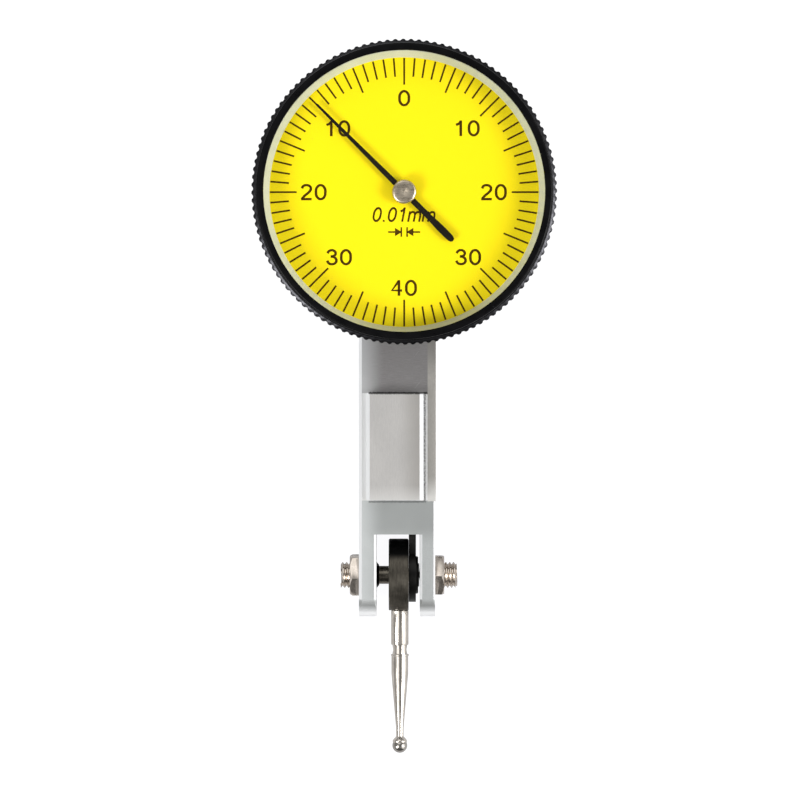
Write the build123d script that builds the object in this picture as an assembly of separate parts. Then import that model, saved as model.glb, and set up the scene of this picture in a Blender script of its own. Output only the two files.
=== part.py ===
from build123d import *
import math
import os

# Dial test indicator lying on its back: the dial faces +Z, the contact point reaches towards -Y.
# The origin is where the dial's axis meets the face of the back dovetail. Sizes are in millimetres.

# Body
body_width = 10.3
body_depth = 10.8
body_center_x = -0.85
side_cover_thickness = 1.2
body_edge_bevel = 0.4
casting_edge_bevel = 0.2
cover_proud = 0.2
cover_edge_bevel = 0.1
left_slope_width = 1.15
left_slope_drop = 0.65
right_slope_width = 0.35
right_slope_drop = 0.35
slope_run_out = 1.4
tail_inset = 2.8
clevis_block_length = 4.37
ear_corner_radius = 2.4
left_ear_thickness = 2.32
right_ear_thickness = 2.0
slot_edge_bevel = 0.3
swivel_to_slot_gap = 0.7

# Dovetails
dovetail_width = 7.5
dovetail_height = 1.8
dovetail_bevel = 0.45
dovetail_flank_angle = 60
dovetail_center_x = -1.25
front_dovetail_length = 14.1
front_dovetail_start = 6.33
back_dovetail_inset = 3.7

# Drum and bezel
bezel_diameter = 40.0
bezel_step = 0.65
bezel_front_ring_width = 0.92
bezel_wall = 1.15
bezel_height = 6.6
bezel_front_ring_height = 2.0
bezel_lip_thickness = 0.55
bezel_edge_bevel = 0.35
flange_edge_bevel = 0.3
knurl_teeth = 120
knurl_depth = 0.21
drum_foot_height = 2.7
drum_floor_thickness = 1.45
drum_wall = 1.3
drum_opening_diameter = 8.0
drum_edge_bevel = 0.7
spring_wire_height = 0.5
spring_wire_depth = 0.45
spring_gap_width = 2.0

# Window and dial
crystal_thickness = 1.15
seal_thickness = 0.15
dial_thickness = 0.4
dial_ring_slope = 0.75
dial_ring_height = 1.9
dial_hole_diameter = 2.0

# Pointer
pointer_tip_margin = 1.25
pointer_tail_length = 9.05
pointer_root_width = 0.78
pointer_tip_width = 0.16
pointer_tail_width = 0.8
pointer_paddle_width = 1.17
pointer_thickness = 0.2
pointer_above_dial = 0.6
pointer_rest_angle = 135
hub_diameter = 3.07
hub_height = 1.0
hub_bevel = 0.22

# Lever and pivot
pivot_y = -50.6
shaft_diameter = 2.4
shaft_neck_diameter = 1.8
lever_thickness = 0.95
lever_hub_radius = 3.6
lever_end_height = 2.4
lever_slit_margin = 0.35
swivel_radius = 4.85
swivel_thickness = 2.65
pivot_washer_thickness = 0.35
pivot_washer_diameter = 3.5
clutch_washer_diameter = 5.0
clutch_washer_thickness = 0.3
clutch_nut_diameter = 3.1
clutch_nut_thickness = 0.13
pivot_screw_diameter = 3.5
pivot_nut_width = 5.1
left_nut_turn = 20
right_nut_turn = 8
pivot_nut_thickness = 1.25
left_screw_reach = 1.15
right_screw_reach = 1.8
cone_depth = 0.8
screw_slot_width = 0.5
screw_slot_depth = 0.7

# Contact point
stem_offset = 0.15
shank_length = 9.36
shank_diameter = 2.33
neck_length = 1.2
neck_diameter = 1.95
cross_hole_diameter = 0.75
collar_length = 0.27
collar_diameter = 2.42
barrel_length = 2.3
barrel_diameter = 2.25
taper_length = 7.2
taper_end_diameter = 1.04
stem_end_diameter = 1.0
ball_seat_diameter = 1.94
ball_seat_start = 1.2
ball_seat_shoulder = 0.78
ball_seat_lip = 0.42
ball_diameter = 2.0
ball_reach = 22.75
stem_thread_diameter = 1.4
stem_thread_length = 2.8

# Gear train
sector_module = 0.2
crown_module = 0.15
crown_pinion_teeth = 14
crown_teeth = 61
center_pinion_teeth = 12
sector_teeth = 7
sector_thickness = 0.75
sector_length = 7.5
sector_rim_depth = 3.4
lever_to_rim_gap = 3.0
rivet_end_margin = 1.0
rivet_spacing = 2.2
rivet_head_height = 0.2
pinion_side_margin = 0.25
tooth_share = 0.78
pressure_angle = 20
crown_face_inner = 4.15
crown_face_outer = 5.0
crown_web_thickness = 0.5
crown_rim_depth = 1.3
crown_arbor_diameter = 0.9
crown_pivot_diameter = 0.36
center_arbor_diameter = 0.66
center_pinion_length = 1.0
movement_plate_thickness = 0.9
plate_recess_height = 8.6
plate_recess_start = 9.4
plate_end_margin = 4.5
lever_channel_height = 5.8
lever_channel_start = 1.2
jewel_diameter = 1.6
jewel_thickness = 0.8
bracket_thickness = 0.9
bracket_width = 1.8
bridge_thickness = 0.8
bridge_width = 2.8
bridge_post_distance = 8.5
bridge_height = 1.3
bridge_boss_wall = 1.2
hairspring_height = 0.5
hairspring_wire = 0.12
hairspring_pitch = 1.1
hairspring_half_turns = 8
collet_diameter = 1.8

# Small screws
cover_screw_diameter = 1.2
cover_screw_head = 2.2
cover_screw_length = 3.0
plate_screw_diameter = 0.8
plate_screw_head = 1.4
bridge_screw_diameter = 1.0
bridge_screw_head = 1.9
bridge_screw_head_height = 0.5
bridge_screw_depth = 1.8
plate_screw_depth = 1.1
screw_slit_width = 0.24
screw_slit_depth = 0.25
rivet_diameter = 0.8
rivet_head = 1.1

# Clearances
running_gap = 0.05
seat_gap = 0.02
turning_gap = 0.1

os.makedirs("parts", exist_ok=True)


def block(x0, x1, y0, y1, z0, z1):
    middle = Pos((x0 + x1) / 2, (y0 + y1) / 2, (z0 + z1) / 2)
    return middle * Box(x1 - x0, y1 - y0, z1 - z0)


def upright(radius, z0, z1, x=0, y=0):
    return Pos(x, y, (z0 + z1) / 2) * Cylinder(radius, z1 - z0)


def crosswise(radius, x0, x1, y=0, z=0):
    return Pos((x0 + x1) / 2, y, z) * Rot(0, 90, 0) * Cylinder(radius, x1 - x0)


def crosswise_cone(radius_at_x0, radius_at_x1, x0, x1, y, z):
    middle = Pos((x0 + x1) / 2, y, z)
    return middle * Rot(0, 90, 0) * Cone(radius_at_x0, radius_at_x1, x1 - x0)


def side_plate(outline, x0, x1):
    # An outline drawn in the YZ plane, first axis along Y and second along Z.
    plane = Plane(origin=(x0, 0, 0), x_dir=(0, 1, 0), z_dir=(1, 0, 0))
    return extrude(plane * outline, x1 - x0)


def turned(points):
    # A solid of revolution from (radius, height) corners about the upright axis.
    outline = make_face(Polyline([(r, 0, h) for r, h in points], close=True))
    return revolve(outline, Axis.Z)


def involute(angle):
    return math.tan(angle) - angle


def tooth_outline(teeth, module, share):
    # Corners of one tooth about the direction of the first axis, from root to tip and back.
    pitch_radius = teeth * module / 2
    base_radius = pitch_radius * math.cos(math.radians(pressure_angle))
    root = pitch_radius - 1.15 * module
    tip = pitch_radius + 0.9 * module
    half_at_pitch = share * math.pi * module / 4 / pitch_radius
    flank = []
    for step in range(5):
        radius = root + (tip - root) * step / 4
        roll = math.acos(min(1, base_radius / max(radius, base_radius)))
        half = half_at_pitch + involute(math.radians(pressure_angle)) - involute(roll)
        flank.append((radius, half))
    left = [(r * math.cos(a), -r * math.sin(a)) for r, a in flank]
    right = [(r * math.cos(a), r * math.sin(a)) for r, a in reversed(flank)]
    sunk = root - 0.4 * module
    foot = flank[0][1]
    start = (sunk * math.cos(foot), -sunk * math.sin(foot))
    end = (sunk * math.cos(foot), sunk * math.sin(foot))
    return [start] + left + right + [end]


def pinion_outline(teeth, module, first_angle):
    # All teeth of a small gear, the first one centred on first_angle in degrees.
    body = Circle(teeth * module / 2 - 1.15 * module)
    tooth = Polygon(*tooth_outline(teeth, module, tooth_share), align=None)
    return body + [Rot(0, 0, first_angle + 360 * k / teeth) * tooth for k in range(teeth)]


# Places worked out from the sizes
body_left = body_center_x - body_width / 2
body_right = body_center_x + body_width / 2
casting_right = body_right - side_cover_thickness
clevis_right = body_right - cover_proud
body_back = dovetail_height
body_front = body_back + body_depth
pivot_z = body_back + body_depth / 2
ear_reach = body_depth / 2
slot_left = body_left + left_ear_thickness
slot_right = clevis_right - right_ear_thickness
slot_end_y = pivot_y + swivel_radius + swivel_to_slot_gap
block_end_y = slot_end_y + clevis_block_length

bezel_radius = bezel_diameter / 2
bezel_front_radius = bezel_radius - bezel_step
bezel_opening_radius = bezel_front_radius - bezel_front_ring_width
bezel_bore_radius = bezel_radius - bezel_wall
drum_foot_radius = bezel_front_radius
drum_radius = bezel_bore_radius - running_gap
drum_floor_z = body_front + drum_floor_thickness
drum_step_z = body_front + drum_foot_height
bezel_bottom = drum_step_z + turning_gap
bezel_top = bezel_bottom + bezel_height
crystal_top = bezel_top - bezel_lip_thickness
crystal_bottom = crystal_top - crystal_thickness
seal_bottom = crystal_bottom - seal_thickness
dial_top = seal_bottom - dial_ring_height
dial_bottom = dial_top - dial_thickness
drum_top = dial_bottom - 3 * turning_gap
fitted_radius = bezel_bore_radius - seat_gap
wire_z = drum_step_z + (drum_top - drum_step_z) * 0.45
wire_inner = drum_radius - spring_wire_depth
wire_outer = bezel_bore_radius + spring_wire_depth / 2
dial_visible_radius = bezel_opening_radius - dial_ring_slope
pointer_length = dial_visible_radius - pointer_tip_margin

rail_start_y = -bezel_radius - front_dovetail_start
rail_end_y = rail_start_y - front_dovetail_length
tail_end_y = bezel_radius - tail_inset
back_dovetail_end_y = tail_end_y - back_dovetail_inset

# Stack across the clevis, from the left ear to the right ear
shaft_left = slot_left + turning_gap
shaft_right = slot_right - turning_gap
nut_right = shaft_right
nut_left = nut_right - clutch_nut_thickness
clutch_washer_left = nut_left - clutch_washer_thickness
lever_right = clutch_washer_left
lever_left = lever_right - lever_thickness
swivel_right = lever_left - seat_gap
swivel_left = swivel_right - swivel_thickness
shaft_neck_start = swivel_left - seat_gap
stem_x = (swivel_left + swivel_right) / 2 + stem_offset

# Gear train
center_pinion_radius = center_pinion_teeth * crown_module / 2
crown_radius = crown_teeth * crown_module / 2
crown_pinion_radius = crown_pinion_teeth * sector_module / 2
sector_radius = -pivot_y - crown_pinion_radius
crown_pitch_x = -center_pinion_radius
crown_tip_x = crown_pitch_x + crown_module
crown_root_x = crown_pitch_x - 1.25 * crown_module
crown_back_x = crown_root_x - crown_rim_depth
pinion_mid_z = pivot_z + (crown_face_inner + crown_face_outer) / 2
sector_right = lever_left
sector_left = sector_right - sector_thickness
crown_pinion_left = sector_left - pinion_side_margin
crown_pinion_right = sector_right + pinion_side_margin
pocket_radius = crown_face_outer + 0.25
pocket_left = crown_back_x - 0.5
plate_right = casting_right - turning_gap
plate_left = plate_right - movement_plate_thickness
plate_recess_end = back_dovetail_end_y - plate_end_margin
left_jewel_right = pocket_left
left_jewel_left = left_jewel_right - jewel_thickness
right_jewel_left = plate_right - jewel_thickness
bracket_top = pivot_z + crown_pinion_radius + 2.4
bracket_bottom = bracket_top - bracket_thickness
bracket_left = -bracket_width / 3
bridge_bottom = drum_floor_z + bridge_height
bridge_top = bridge_bottom + bridge_thickness
hairspring_z = drum_floor_z + 0.35
pointer_z = dial_top + pointer_above_dial
hub_top = pointer_z + hub_height
arbor_top = hub_top - 0.1


def dovetail_outline():
    # Section of a dovetail with its root on the first axis, its face up.
    half = dovetail_width / 2
    flank = dovetail_height - dovetail_bevel
    root = half - flank / math.tan(math.radians(dovetail_flank_angle))
    face = half - dovetail_bevel
    return Polygon(
        (-root, 0), (root, 0), (half, flank), (face, dovetail_height),
        (-face, dovetail_height), (-half, flank), align=None,
    )


def make_front_dovetail():
    plane = Plane(origin=(dovetail_center_x, rail_end_y, body_front), x_dir=(-1, 0, 0), z_dir=(0, 1, 0))
    return extrude(plane * dovetail_outline(), front_dovetail_length)


def make_back_dovetail():
    plane = Plane(origin=(dovetail_center_x, rail_end_y, body_back), x_dir=(1, 0, 0), z_dir=(0, 1, 0))
    rail = extrude(plane * dovetail_outline(), back_dovetail_end_y - rail_end_y)
    return rail


def make_rear_dovetail():
    plane = Plane(origin=(body_center_x, tail_end_y, body_back), x_dir=(1, 0, 0), z_dir=(0, 0, 1))
    return extrude(plane * dovetail_outline(), body_depth - 2 * turning_gap)


def cover_screw_places():
    near_end = block_end_y + 3.5
    far_end = back_dovetail_end_y - 2.2
    low = body_back + body_edge_bevel + cover_screw_head / 2
    high = body_front - body_edge_bevel - cover_screw_head / 2
    return [(y, z) for y in (near_end, far_end) for z in (low, high)]


def plate_screw_places():
    edge = plate_recess_height / 2 - plate_screw_head / 2 - 0.15
    near_end = (-plate_recess_start + 1.1, edge)
    far_end = (plate_recess_end - 1.1, edge - 1.2)
    return [(y, pivot_z + side * z) for y, z in (near_end, far_end) for side in (-1, 1)]


def bridge_screw_places():
    return [(0, -bridge_post_distance), (0, bridge_post_distance)]


def make_rail_slopes():
    # Sloping strips beside the front dovetail, where the cutter ran out past its ends.
    top = body_front
    left = body_left
    right = casting_right
    start = rail_end_y
    end = rail_start_y
    plane = Plane(origin=(0, start - 1, 0), x_dir=(-1, 0, 0), z_dir=(0, 1, 0))
    reach = end - start + 2 + slope_run_out
    left_section = Polygon(
        (-left, top), (-left - left_slope_width, top), (-left, top - left_slope_drop), align=None
    )
    right_section = Polygon(
        (-right, top), (-right + right_slope_width, top), (-right, top - right_slope_drop), align=None
    )
    left_plan = Polygon(
        (left, start), (left, end + slope_run_out), (left + left_slope_width, end),
        (left + left_slope_width, start), align=None,
    )
    slopes = extrude(plane * left_section, reach) & extrude(Pos(0, 0, top - 2) * left_plan, 3)
    long_strip = block(right - 1, right, block_end_y, end, top - 2, top + 1)
    return slopes, extrude(plane * right_section, reach) & long_strip


def make_slot():
    # The space between the ears, wider at both faces where their inner edges are bevelled.
    low = body_back - slot_edge_bevel
    high = body_front + slot_edge_bevel
    section = Polygon(
        (slot_left - 2 * slot_edge_bevel, low), (slot_right + 2 * slot_edge_bevel, low),
        (slot_right, low + 2 * slot_edge_bevel), (slot_right, high - 2 * slot_edge_bevel),
        (slot_right + 2 * slot_edge_bevel, high), (slot_left - 2 * slot_edge_bevel, high),
        (slot_left, high - 2 * slot_edge_bevel), (slot_left, low + 2 * slot_edge_bevel), align=None,
    )
    plane = Plane(origin=(0, slot_end_y, 0), x_dir=(1, 0, 0), z_dir=(0, -1, 0))
    return extrude(plane * section, slot_end_y - pivot_y + 2 * ear_reach)


def make_main_body():
    blank = block(body_left, clevis_right, pivot_y - ear_reach, tail_end_y, body_back, body_front)
    rounded = fillet(blank.faces().sort_by(Axis.Y)[0].edges().filter_by(Axis.X), ear_corner_radius)
    bar = chamfer(blank.faces().sort_by(Axis.X)[0].edges().filter_by(Axis.Y), body_edge_bevel)
    bar = chamfer(bar.faces().sort_by(Axis.X)[-1].edges().filter_by(Axis.Y), casting_edge_bevel)
    bar = bar & rounded
    left_slope, right_slope = make_rail_slopes()
    bar -= left_slope
    bar -= right_slope
    bar += make_front_dovetail() + make_back_dovetail() + make_rear_dovetail()
    foot = upright(drum_foot_radius, body_front, drum_step_z)
    foot = chamfer(foot.faces().sort_by(Axis.Z)[0].edges(), drum_edge_bevel)
    bar += foot + upright(drum_radius, drum_step_z, drum_top)
    bar -= upright(drum_radius - drum_wall, drum_floor_z, drum_top + 1)
    bar -= upright(drum_opening_diameter / 2, pivot_z, drum_floor_z + 1)
    groove = upright(drum_radius + 1, wire_z - running_gap, wire_z + spring_wire_height + running_gap)
    bar -= groove - upright(wire_inner - running_gap, wire_z - 1, wire_z + 2)
    bar -= make_slot()
    bar -= crosswise(pivot_screw_diameter / 2, body_left - 1, body_right + 1, pivot_y, pivot_z)

    # Recess of the side cover, channel of the lever, pocket of the crown gear and seat of the plate
    cover_space = block(
        casting_right, body_right + 1, block_end_y, back_dovetail_end_y + turning_gap, 0, body_front
    )
    bar -= cover_space
    low = pivot_z - lever_channel_height / 2
    high = pivot_z + lever_channel_height / 2
    channel_left = sector_left - 0.35
    channel_start = block_end_y + lever_channel_start
    bar -= block(channel_left, casting_right + 1, channel_start, 0, low, high)
    bar -= block(
        lever_left - lever_slit_margin, lever_right + lever_slit_margin,
        slot_end_y - 1, channel_start + 1, low, high,
    )
    bar -= crosswise(pocket_radius, pocket_left, casting_right + 1, 0, pivot_z)
    bar -= block(
        plate_left, casting_right + 1, -plate_recess_start, plate_recess_end,
        pivot_z - plate_recess_height / 2, pivot_z + plate_recess_height / 2,
    )
    bar -= crosswise(jewel_diameter / 2, left_jewel_left, pocket_left + 1, 0, pivot_z)
    for y, z in cover_screw_places():
        bar -= crosswise(cover_screw_diameter / 2, body_right - cover_screw_length, body_right, y, z)
    for y, z in plate_screw_places():
        bar -= crosswise(plate_screw_diameter / 2, plate_left - plate_screw_depth, plate_right, y, z)
    for x, y in bridge_screw_places():
        bar -= upright(bridge_screw_diameter / 2, drum_floor_z - bridge_screw_depth - 0.2, drum_top, x, y)
    return bar


def make_side_cover():
    start = block_end_y + seat_gap
    cover = block(casting_right, body_right, start, back_dovetail_end_y, body_back, body_front)
    rim = cover.faces().sort_by(Axis.X)[-1].edges().filter_by(Axis.Y)
    cover = chamfer(rim, cover_edge_bevel)
    for y, z in cover_screw_places():
        cover -= crosswise(cover_screw_diameter / 2 + seat_gap, casting_right - 1, body_right + 1, y, z)
        sink = cover_screw_head / 2 - cover_screw_diameter / 2
        cover -= crosswise_cone(
            cover_screw_diameter / 2 + seat_gap, cover_screw_head / 2 + seat_gap,
            body_right - sink, body_right, y, z,
        )
    return cover


def crosswise_slit(face_x, y, z):
    # The driver's slit in a screw head whose top lies at face_x.
    half = screw_slit_width / 2
    reach = cover_screw_head
    return block(face_x - screw_slit_depth, face_x + 1, y - reach, y + reach, z - half, z + half)


def make_cover_screws():
    screws = []
    sink = cover_screw_head / 2 - cover_screw_diameter / 2
    for y, z in cover_screw_places():
        shank_end = body_right - cover_screw_length + 0.3
        shank = crosswise(cover_screw_diameter / 2 - seat_gap, shank_end, body_right - sink, y, z)
        head = crosswise_cone(
            cover_screw_diameter / 2 - seat_gap, cover_screw_head / 2 - seat_gap,
            body_right - sink, body_right, y, z,
        )
        slit = crosswise_slit(body_right, y, z)
        screws.append(shank + head - slit)
    return Compound(children=screws)


def make_movement_plate():
    height = plate_recess_height / 2 - seat_gap
    start = -plate_recess_start + seat_gap
    end = plate_recess_end - seat_gap
    plate = block(plate_left, plate_right, start, end, pivot_z - height, pivot_z + height)
    bracket_half = bracket_width / 2
    plate += block(bracket_left, plate_left, -bracket_half, bracket_half, bracket_bottom, bracket_top)
    plate -= crosswise(jewel_diameter / 2, right_jewel_left, plate_right + 1, 0, pivot_z)
    plate -= crosswise(crown_pivot_diameter / 2 + turning_gap, plate_left - 1, plate_right, 0, pivot_z)
    plate -= upright(lower_jewel_radius(), bracket_bottom - 1, bracket_top + 1)
    for y, z in plate_screw_places():
        plate -= crosswise(plate_screw_diameter / 2 + seat_gap, plate_left - 1, plate_right + 1, y, z)
        plate -= crosswise(
            plate_screw_head / 2 + seat_gap, plate_right - movement_plate_thickness / 2,
            plate_right + 1, y, z,
        )
    return plate


def lower_jewel_radius():
    return bracket_width / 2 - 0.45


def make_plate_screws():
    screws = []
    for y, z in plate_screw_places():
        seat = plate_right - movement_plate_thickness / 2
        shank = crosswise(plate_screw_diameter / 2 - seat_gap, plate_left - plate_screw_depth + 0.1, seat, y, z)
        head = crosswise(plate_screw_head / 2 - seat_gap, seat, plate_right, y, z)
        slit = crosswise_slit(plate_right, y, z)
        screws.append(shank + head - slit)
    return Compound(children=screws)


def make_center_bridge():
    bridge = block(
        -bridge_width / 2, bridge_width / 2, -bridge_post_distance, bridge_post_distance,
        bridge_bottom, bridge_top,
    )
    for x, y in bridge_screw_places():
        bridge += upright(bridge_width / 2, drum_floor_z, bridge_top, x, y)
    bridge += upright(jewel_diameter / 2 + bridge_boss_wall, bridge_bottom, bridge_top)
    bridge -= upright(jewel_diameter / 2, bridge_bottom - 1, bridge_top + 1)
    for x, y in bridge_screw_places():
        bridge -= upright(bridge_screw_diameter / 2 + seat_gap, drum_floor_z - 1, bridge_top + 1, x, y)
    return bridge


def make_bridge_screws():
    screws = []
    for x, y in bridge_screw_places():
        shank_end = drum_floor_z - bridge_screw_depth
        head_top = bridge_top + bridge_screw_head_height
        shank = upright(bridge_screw_diameter / 2 - seat_gap, shank_end, bridge_top, x, y)
        head = upright(bridge_screw_head / 2, bridge_top, head_top, x, y)
        half = screw_slit_width / 2
        reach = bridge_screw_head
        slit = block(x - reach, x + reach, y - half, y + half, head_top - screw_slit_depth, head_top + 1)
        screws.append(shank + head - slit)
    return Compound(children=screws)


def make_bezel_ring():
    outer = bezel_radius
    valley = outer - knurl_depth
    front = bezel_front_radius
    opening = bezel_opening_radius
    bore = bezel_bore_radius
    flange_top = bezel_top - bezel_front_ring_height
    knurl_bottom = bezel_bottom + flange_edge_bevel
    knurl_top = flange_top - flange_edge_bevel
    ring = turned([
        (bore, bezel_bottom), (valley - flange_edge_bevel, bezel_bottom), (valley, knurl_bottom),
        (valley, knurl_top), (front + 0.02, flange_top), (front, bezel_top - bezel_edge_bevel),
        (front - bezel_edge_bevel * 0.7, bezel_top), (opening, bezel_top), (opening, crystal_top),
        (bore, crystal_top),
    ])
    half = math.radians(180 / knurl_teeth)
    corners = []
    for k in range(knurl_teeth):
        angle = math.radians(360 * k / knurl_teeth)
        corners.append((outer * math.cos(angle), outer * math.sin(angle)))
        corners.append((valley * math.cos(angle + half), valley * math.sin(angle + half)))
    star = Polygon(*corners, align=None) - Circle((bore + valley) / 2)
    ring += Pos(0, 0, knurl_bottom) * extrude(star, knurl_top - knurl_bottom)
    groove = upright(wire_outer + running_gap, wire_z - running_gap, wire_z + spring_wire_height + running_gap)
    return ring - groove


def make_bezel_spring():
    ring = upright(wire_outer, wire_z, wire_z + spring_wire_height)
    ring -= upright(wire_inner, wire_z - 1, wire_z + 2)
    half = spring_gap_width / 2
    gap = block(0, bezel_radius, -half, half, wire_z - 1, wire_z + 2)
    return ring - gap


def make_crystal():
    crystal = upright(fitted_radius, crystal_bottom, crystal_top)
    return crystal


def make_crystal_seal():
    seal = upright(fitted_radius, seal_bottom, crystal_bottom)
    return seal - upright(bezel_opening_radius + running_gap, seal_bottom - 1, crystal_bottom + 1)


def make_dial_ring():
    inner_top = bezel_opening_radius - seat_gap
    inner_bottom = dial_visible_radius
    return turned([
        (inner_bottom, dial_top), (fitted_radius, dial_top),
        (fitted_radius, seal_bottom), (inner_top, seal_bottom),
    ])


def make_dial_face():
    dial = upright(fitted_radius, dial_bottom, dial_top)
    return dial - upright(dial_hole_diameter / 2, dial_bottom - 1, dial_top + 1)


def make_pointer_hand():
    # Drawn along the first axis with the tip at the far end, then turned to where it rests.
    paddle_start = -0.62 * pointer_tail_length
    paddle_end = -pointer_tail_length + 0.4
    half_root = pointer_root_width / 2
    half_tail = pointer_tail_width / 2
    blade = Polygon(
        (-1, -half_root), (pointer_length, -pointer_tip_width / 2),
        (pointer_length, pointer_tip_width / 2), (-1, half_root), align=None,
    )
    tail = Polygon(
        (0, half_tail), (paddle_start, half_tail - 0.09), (paddle_end + 1, pointer_paddle_width / 2),
        (paddle_end, 0.4), (paddle_end, -0.4), (paddle_end + 1, -pointer_paddle_width / 2),
        (paddle_start, -half_tail + 0.09), (0, -half_tail), align=None,
    )
    end = Pos(paddle_end, 0) * Circle(0.4)
    boss = Circle(hub_diameter / 2 - 0.25)
    hand = extrude(blade + tail + end + boss - Circle(center_arbor_diameter / 2), pointer_thickness)
    return Pos(0, 0, pointer_z) * Rot(0, 0, pointer_rest_angle) * hand


def make_pointer_hub():
    radius = hub_diameter / 2
    low = pointer_z + pointer_thickness
    hub = turned([
        (0, low), (radius - hub_bevel, low), (radius, low + hub_bevel),
        (radius, hub_top - hub_bevel), (radius - hub_bevel, hub_top), (0, hub_top),
    ])
    return hub - upright(center_arbor_diameter / 2, low - 1, arbor_top)


def make_center_pinion():
    half = center_pinion_length / 2
    teeth = pinion_outline(center_pinion_teeth, crown_module, 180 + 180 / center_pinion_teeth)
    arbor = upright(center_arbor_diameter / 2, bracket_top + turning_gap, arbor_top)
    arbor += Pos(0, 0, pinion_mid_z - half) * extrude(teeth, center_pinion_length)
    return arbor + upright(crown_pivot_diameter / 2, bracket_bottom + 0.1, bracket_top + turning_gap)


def make_jewel(outer, hole, low, high):
    return upright(outer, low, high) - upright(hole, low - 1, high + 1)


def make_left_crown_jewel():
    jewel = crosswise(jewel_diameter / 2 - seat_gap, left_jewel_left, left_jewel_right, 0, pivot_z)
    hole = crown_pivot_diameter / 2 + 0.03
    return jewel - crosswise(hole, left_jewel_left - 1, left_jewel_right + 1, 0, pivot_z)


def make_right_crown_jewel():
    jewel = crosswise(jewel_diameter / 2 - seat_gap, right_jewel_left, plate_right, 0, pivot_z)
    hole = crown_pivot_diameter / 2 + 0.03
    return jewel - crosswise(hole, right_jewel_left - 1, plate_right + 1, 0, pivot_z)


def make_crown_arbor():
    first_tooth = 180 + 180 / crown_pinion_teeth
    low = left_jewel_right + 0.08
    high = plate_left - 0.08
    arbor = crosswise(crown_arbor_diameter / 2, low, high, 0, pivot_z)
    arbor += crosswise(crown_pivot_diameter / 2, left_jewel_left + 0.1, plate_right - 0.05, 0, pivot_z)
    outline = pinion_outline(crown_pinion_teeth, sector_module, first_tooth)
    pinion = side_plate(outline, crown_pinion_left, crown_pinion_right)
    return arbor + Pos(0, 0, pivot_z) * pinion


def make_crown_gear():
    web = crosswise(crown_face_outer, crown_back_x, crown_root_x, 0, pivot_z)
    web -= crosswise(crown_face_inner, crown_back_x + crown_web_thickness, crown_root_x + 1, 0, pivot_z)
    pitch = 2 * math.pi * crown_radius / crown_teeth
    slope = math.tan(math.radians(pressure_angle))
    half = tooth_share * pitch / 4
    root = half + (crown_pitch_x - crown_root_x) * slope
    tip = half - (crown_tip_x - crown_pitch_x) * slope
    # One tooth stands on the rim at its top and runs outwards along Z.
    outline = Polygon(
        (-root, crown_root_x - 0.05), (root, crown_root_x - 0.05), (root, crown_root_x),
        (tip, crown_tip_x), (-tip, crown_tip_x), (-root, crown_root_x), align=None,
    )
    plane = Plane(origin=(0, 0, crown_face_inner), x_dir=(0, 1, 0), z_dir=(0, 0, -1))
    tooth = extrude(plane * outline, -(crown_face_outer - crown_face_inner - 0.03))
    teeth = [Pos(0, 0, pivot_z) * Rot(360 * k / crown_teeth, 0, 0) * tooth for k in range(crown_teeth)]
    gear = web + teeth
    collar = crosswise(crown_arbor_diameter, crown_back_x, crown_pinion_left - 0.1, 0, pivot_z)
    bore = crosswise(crown_arbor_diameter / 2, crown_back_x - 1, 5, 0, pivot_z)
    return gear + collar - bore


def make_lever_arm():
    # Seen from the side: a round hub at the pivot and a bar that narrows towards the sector.
    far = sector_radius - lever_to_rim_gap
    near_half = lever_hub_radius * 0.62
    start = swivel_radius
    bar = Polygon(
        (0, -near_half), (start, -near_half), (far, -lever_end_height / 2),
        (far, lever_end_height / 2), (start, near_half), (0, near_half), align=None,
    )
    hub = Circle(lever_hub_radius) - Circle(shaft_neck_diameter / 2)
    arm = bar + hub - Circle(shaft_neck_diameter / 2)
    for x in rivet_places():
        arm -= Pos(x, 0) * Circle(rivet_diameter / 2)
    return Pos(0, pivot_y, pivot_z) * side_plate(arm, lever_left, lever_right)


def rivet_places():
    far = sector_radius - lever_to_rim_gap - rivet_end_margin
    return [far, far - rivet_spacing]


def make_sector_gear():
    virtual_teeth = 2 * sector_radius / sector_module
    rim = sector_radius - 1.15 * sector_module
    tooth = Polygon(*tooth_outline(virtual_teeth, sector_module, tooth_share), align=None)
    pitch_angle = 360 / virtual_teeth
    reach = (sector_teeth - 1) // 2
    teeth = [Rot(0, 0, pitch_angle * k) * tooth for k in range(-reach, reach + 1)]
    fan_angle = math.radians(pitch_angle * (reach + 0.5))
    rim_half = rim * math.sin(fan_angle)
    rim_x = rim * math.cos(fan_angle)
    root_x = sector_radius - sector_length
    root_half = lever_end_height / 2
    arc = ThreePointArc((rim_x, -rim_half), (rim, 0), (rim_x, rim_half))
    sides = Polyline(
        (rim_x, rim_half), (rim - sector_rim_depth, root_half), (root_x, root_half),
        (root_x, -root_half), (rim - sector_rim_depth, -root_half), (rim_x, -rim_half),
    )
    fan = make_face(Curve() + [arc, sides])
    plate = fan + teeth
    for x in rivet_places():
        plate -= Pos(x, 0) * Circle(rivet_diameter / 2)
    return Pos(0, pivot_y, pivot_z) * side_plate(plate, sector_left, sector_right)


def make_sector_rivets():
    rivets = []
    for x in rivet_places():
        y = pivot_y + x
        rivet = crosswise(rivet_diameter / 2, sector_left, lever_right, y, pivot_z)
        rivet += crosswise(rivet_head / 2, lever_right, lever_right + rivet_head_height, y, pivot_z)
        rivets.append(rivet)
    return Compound(children=rivets)


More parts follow.
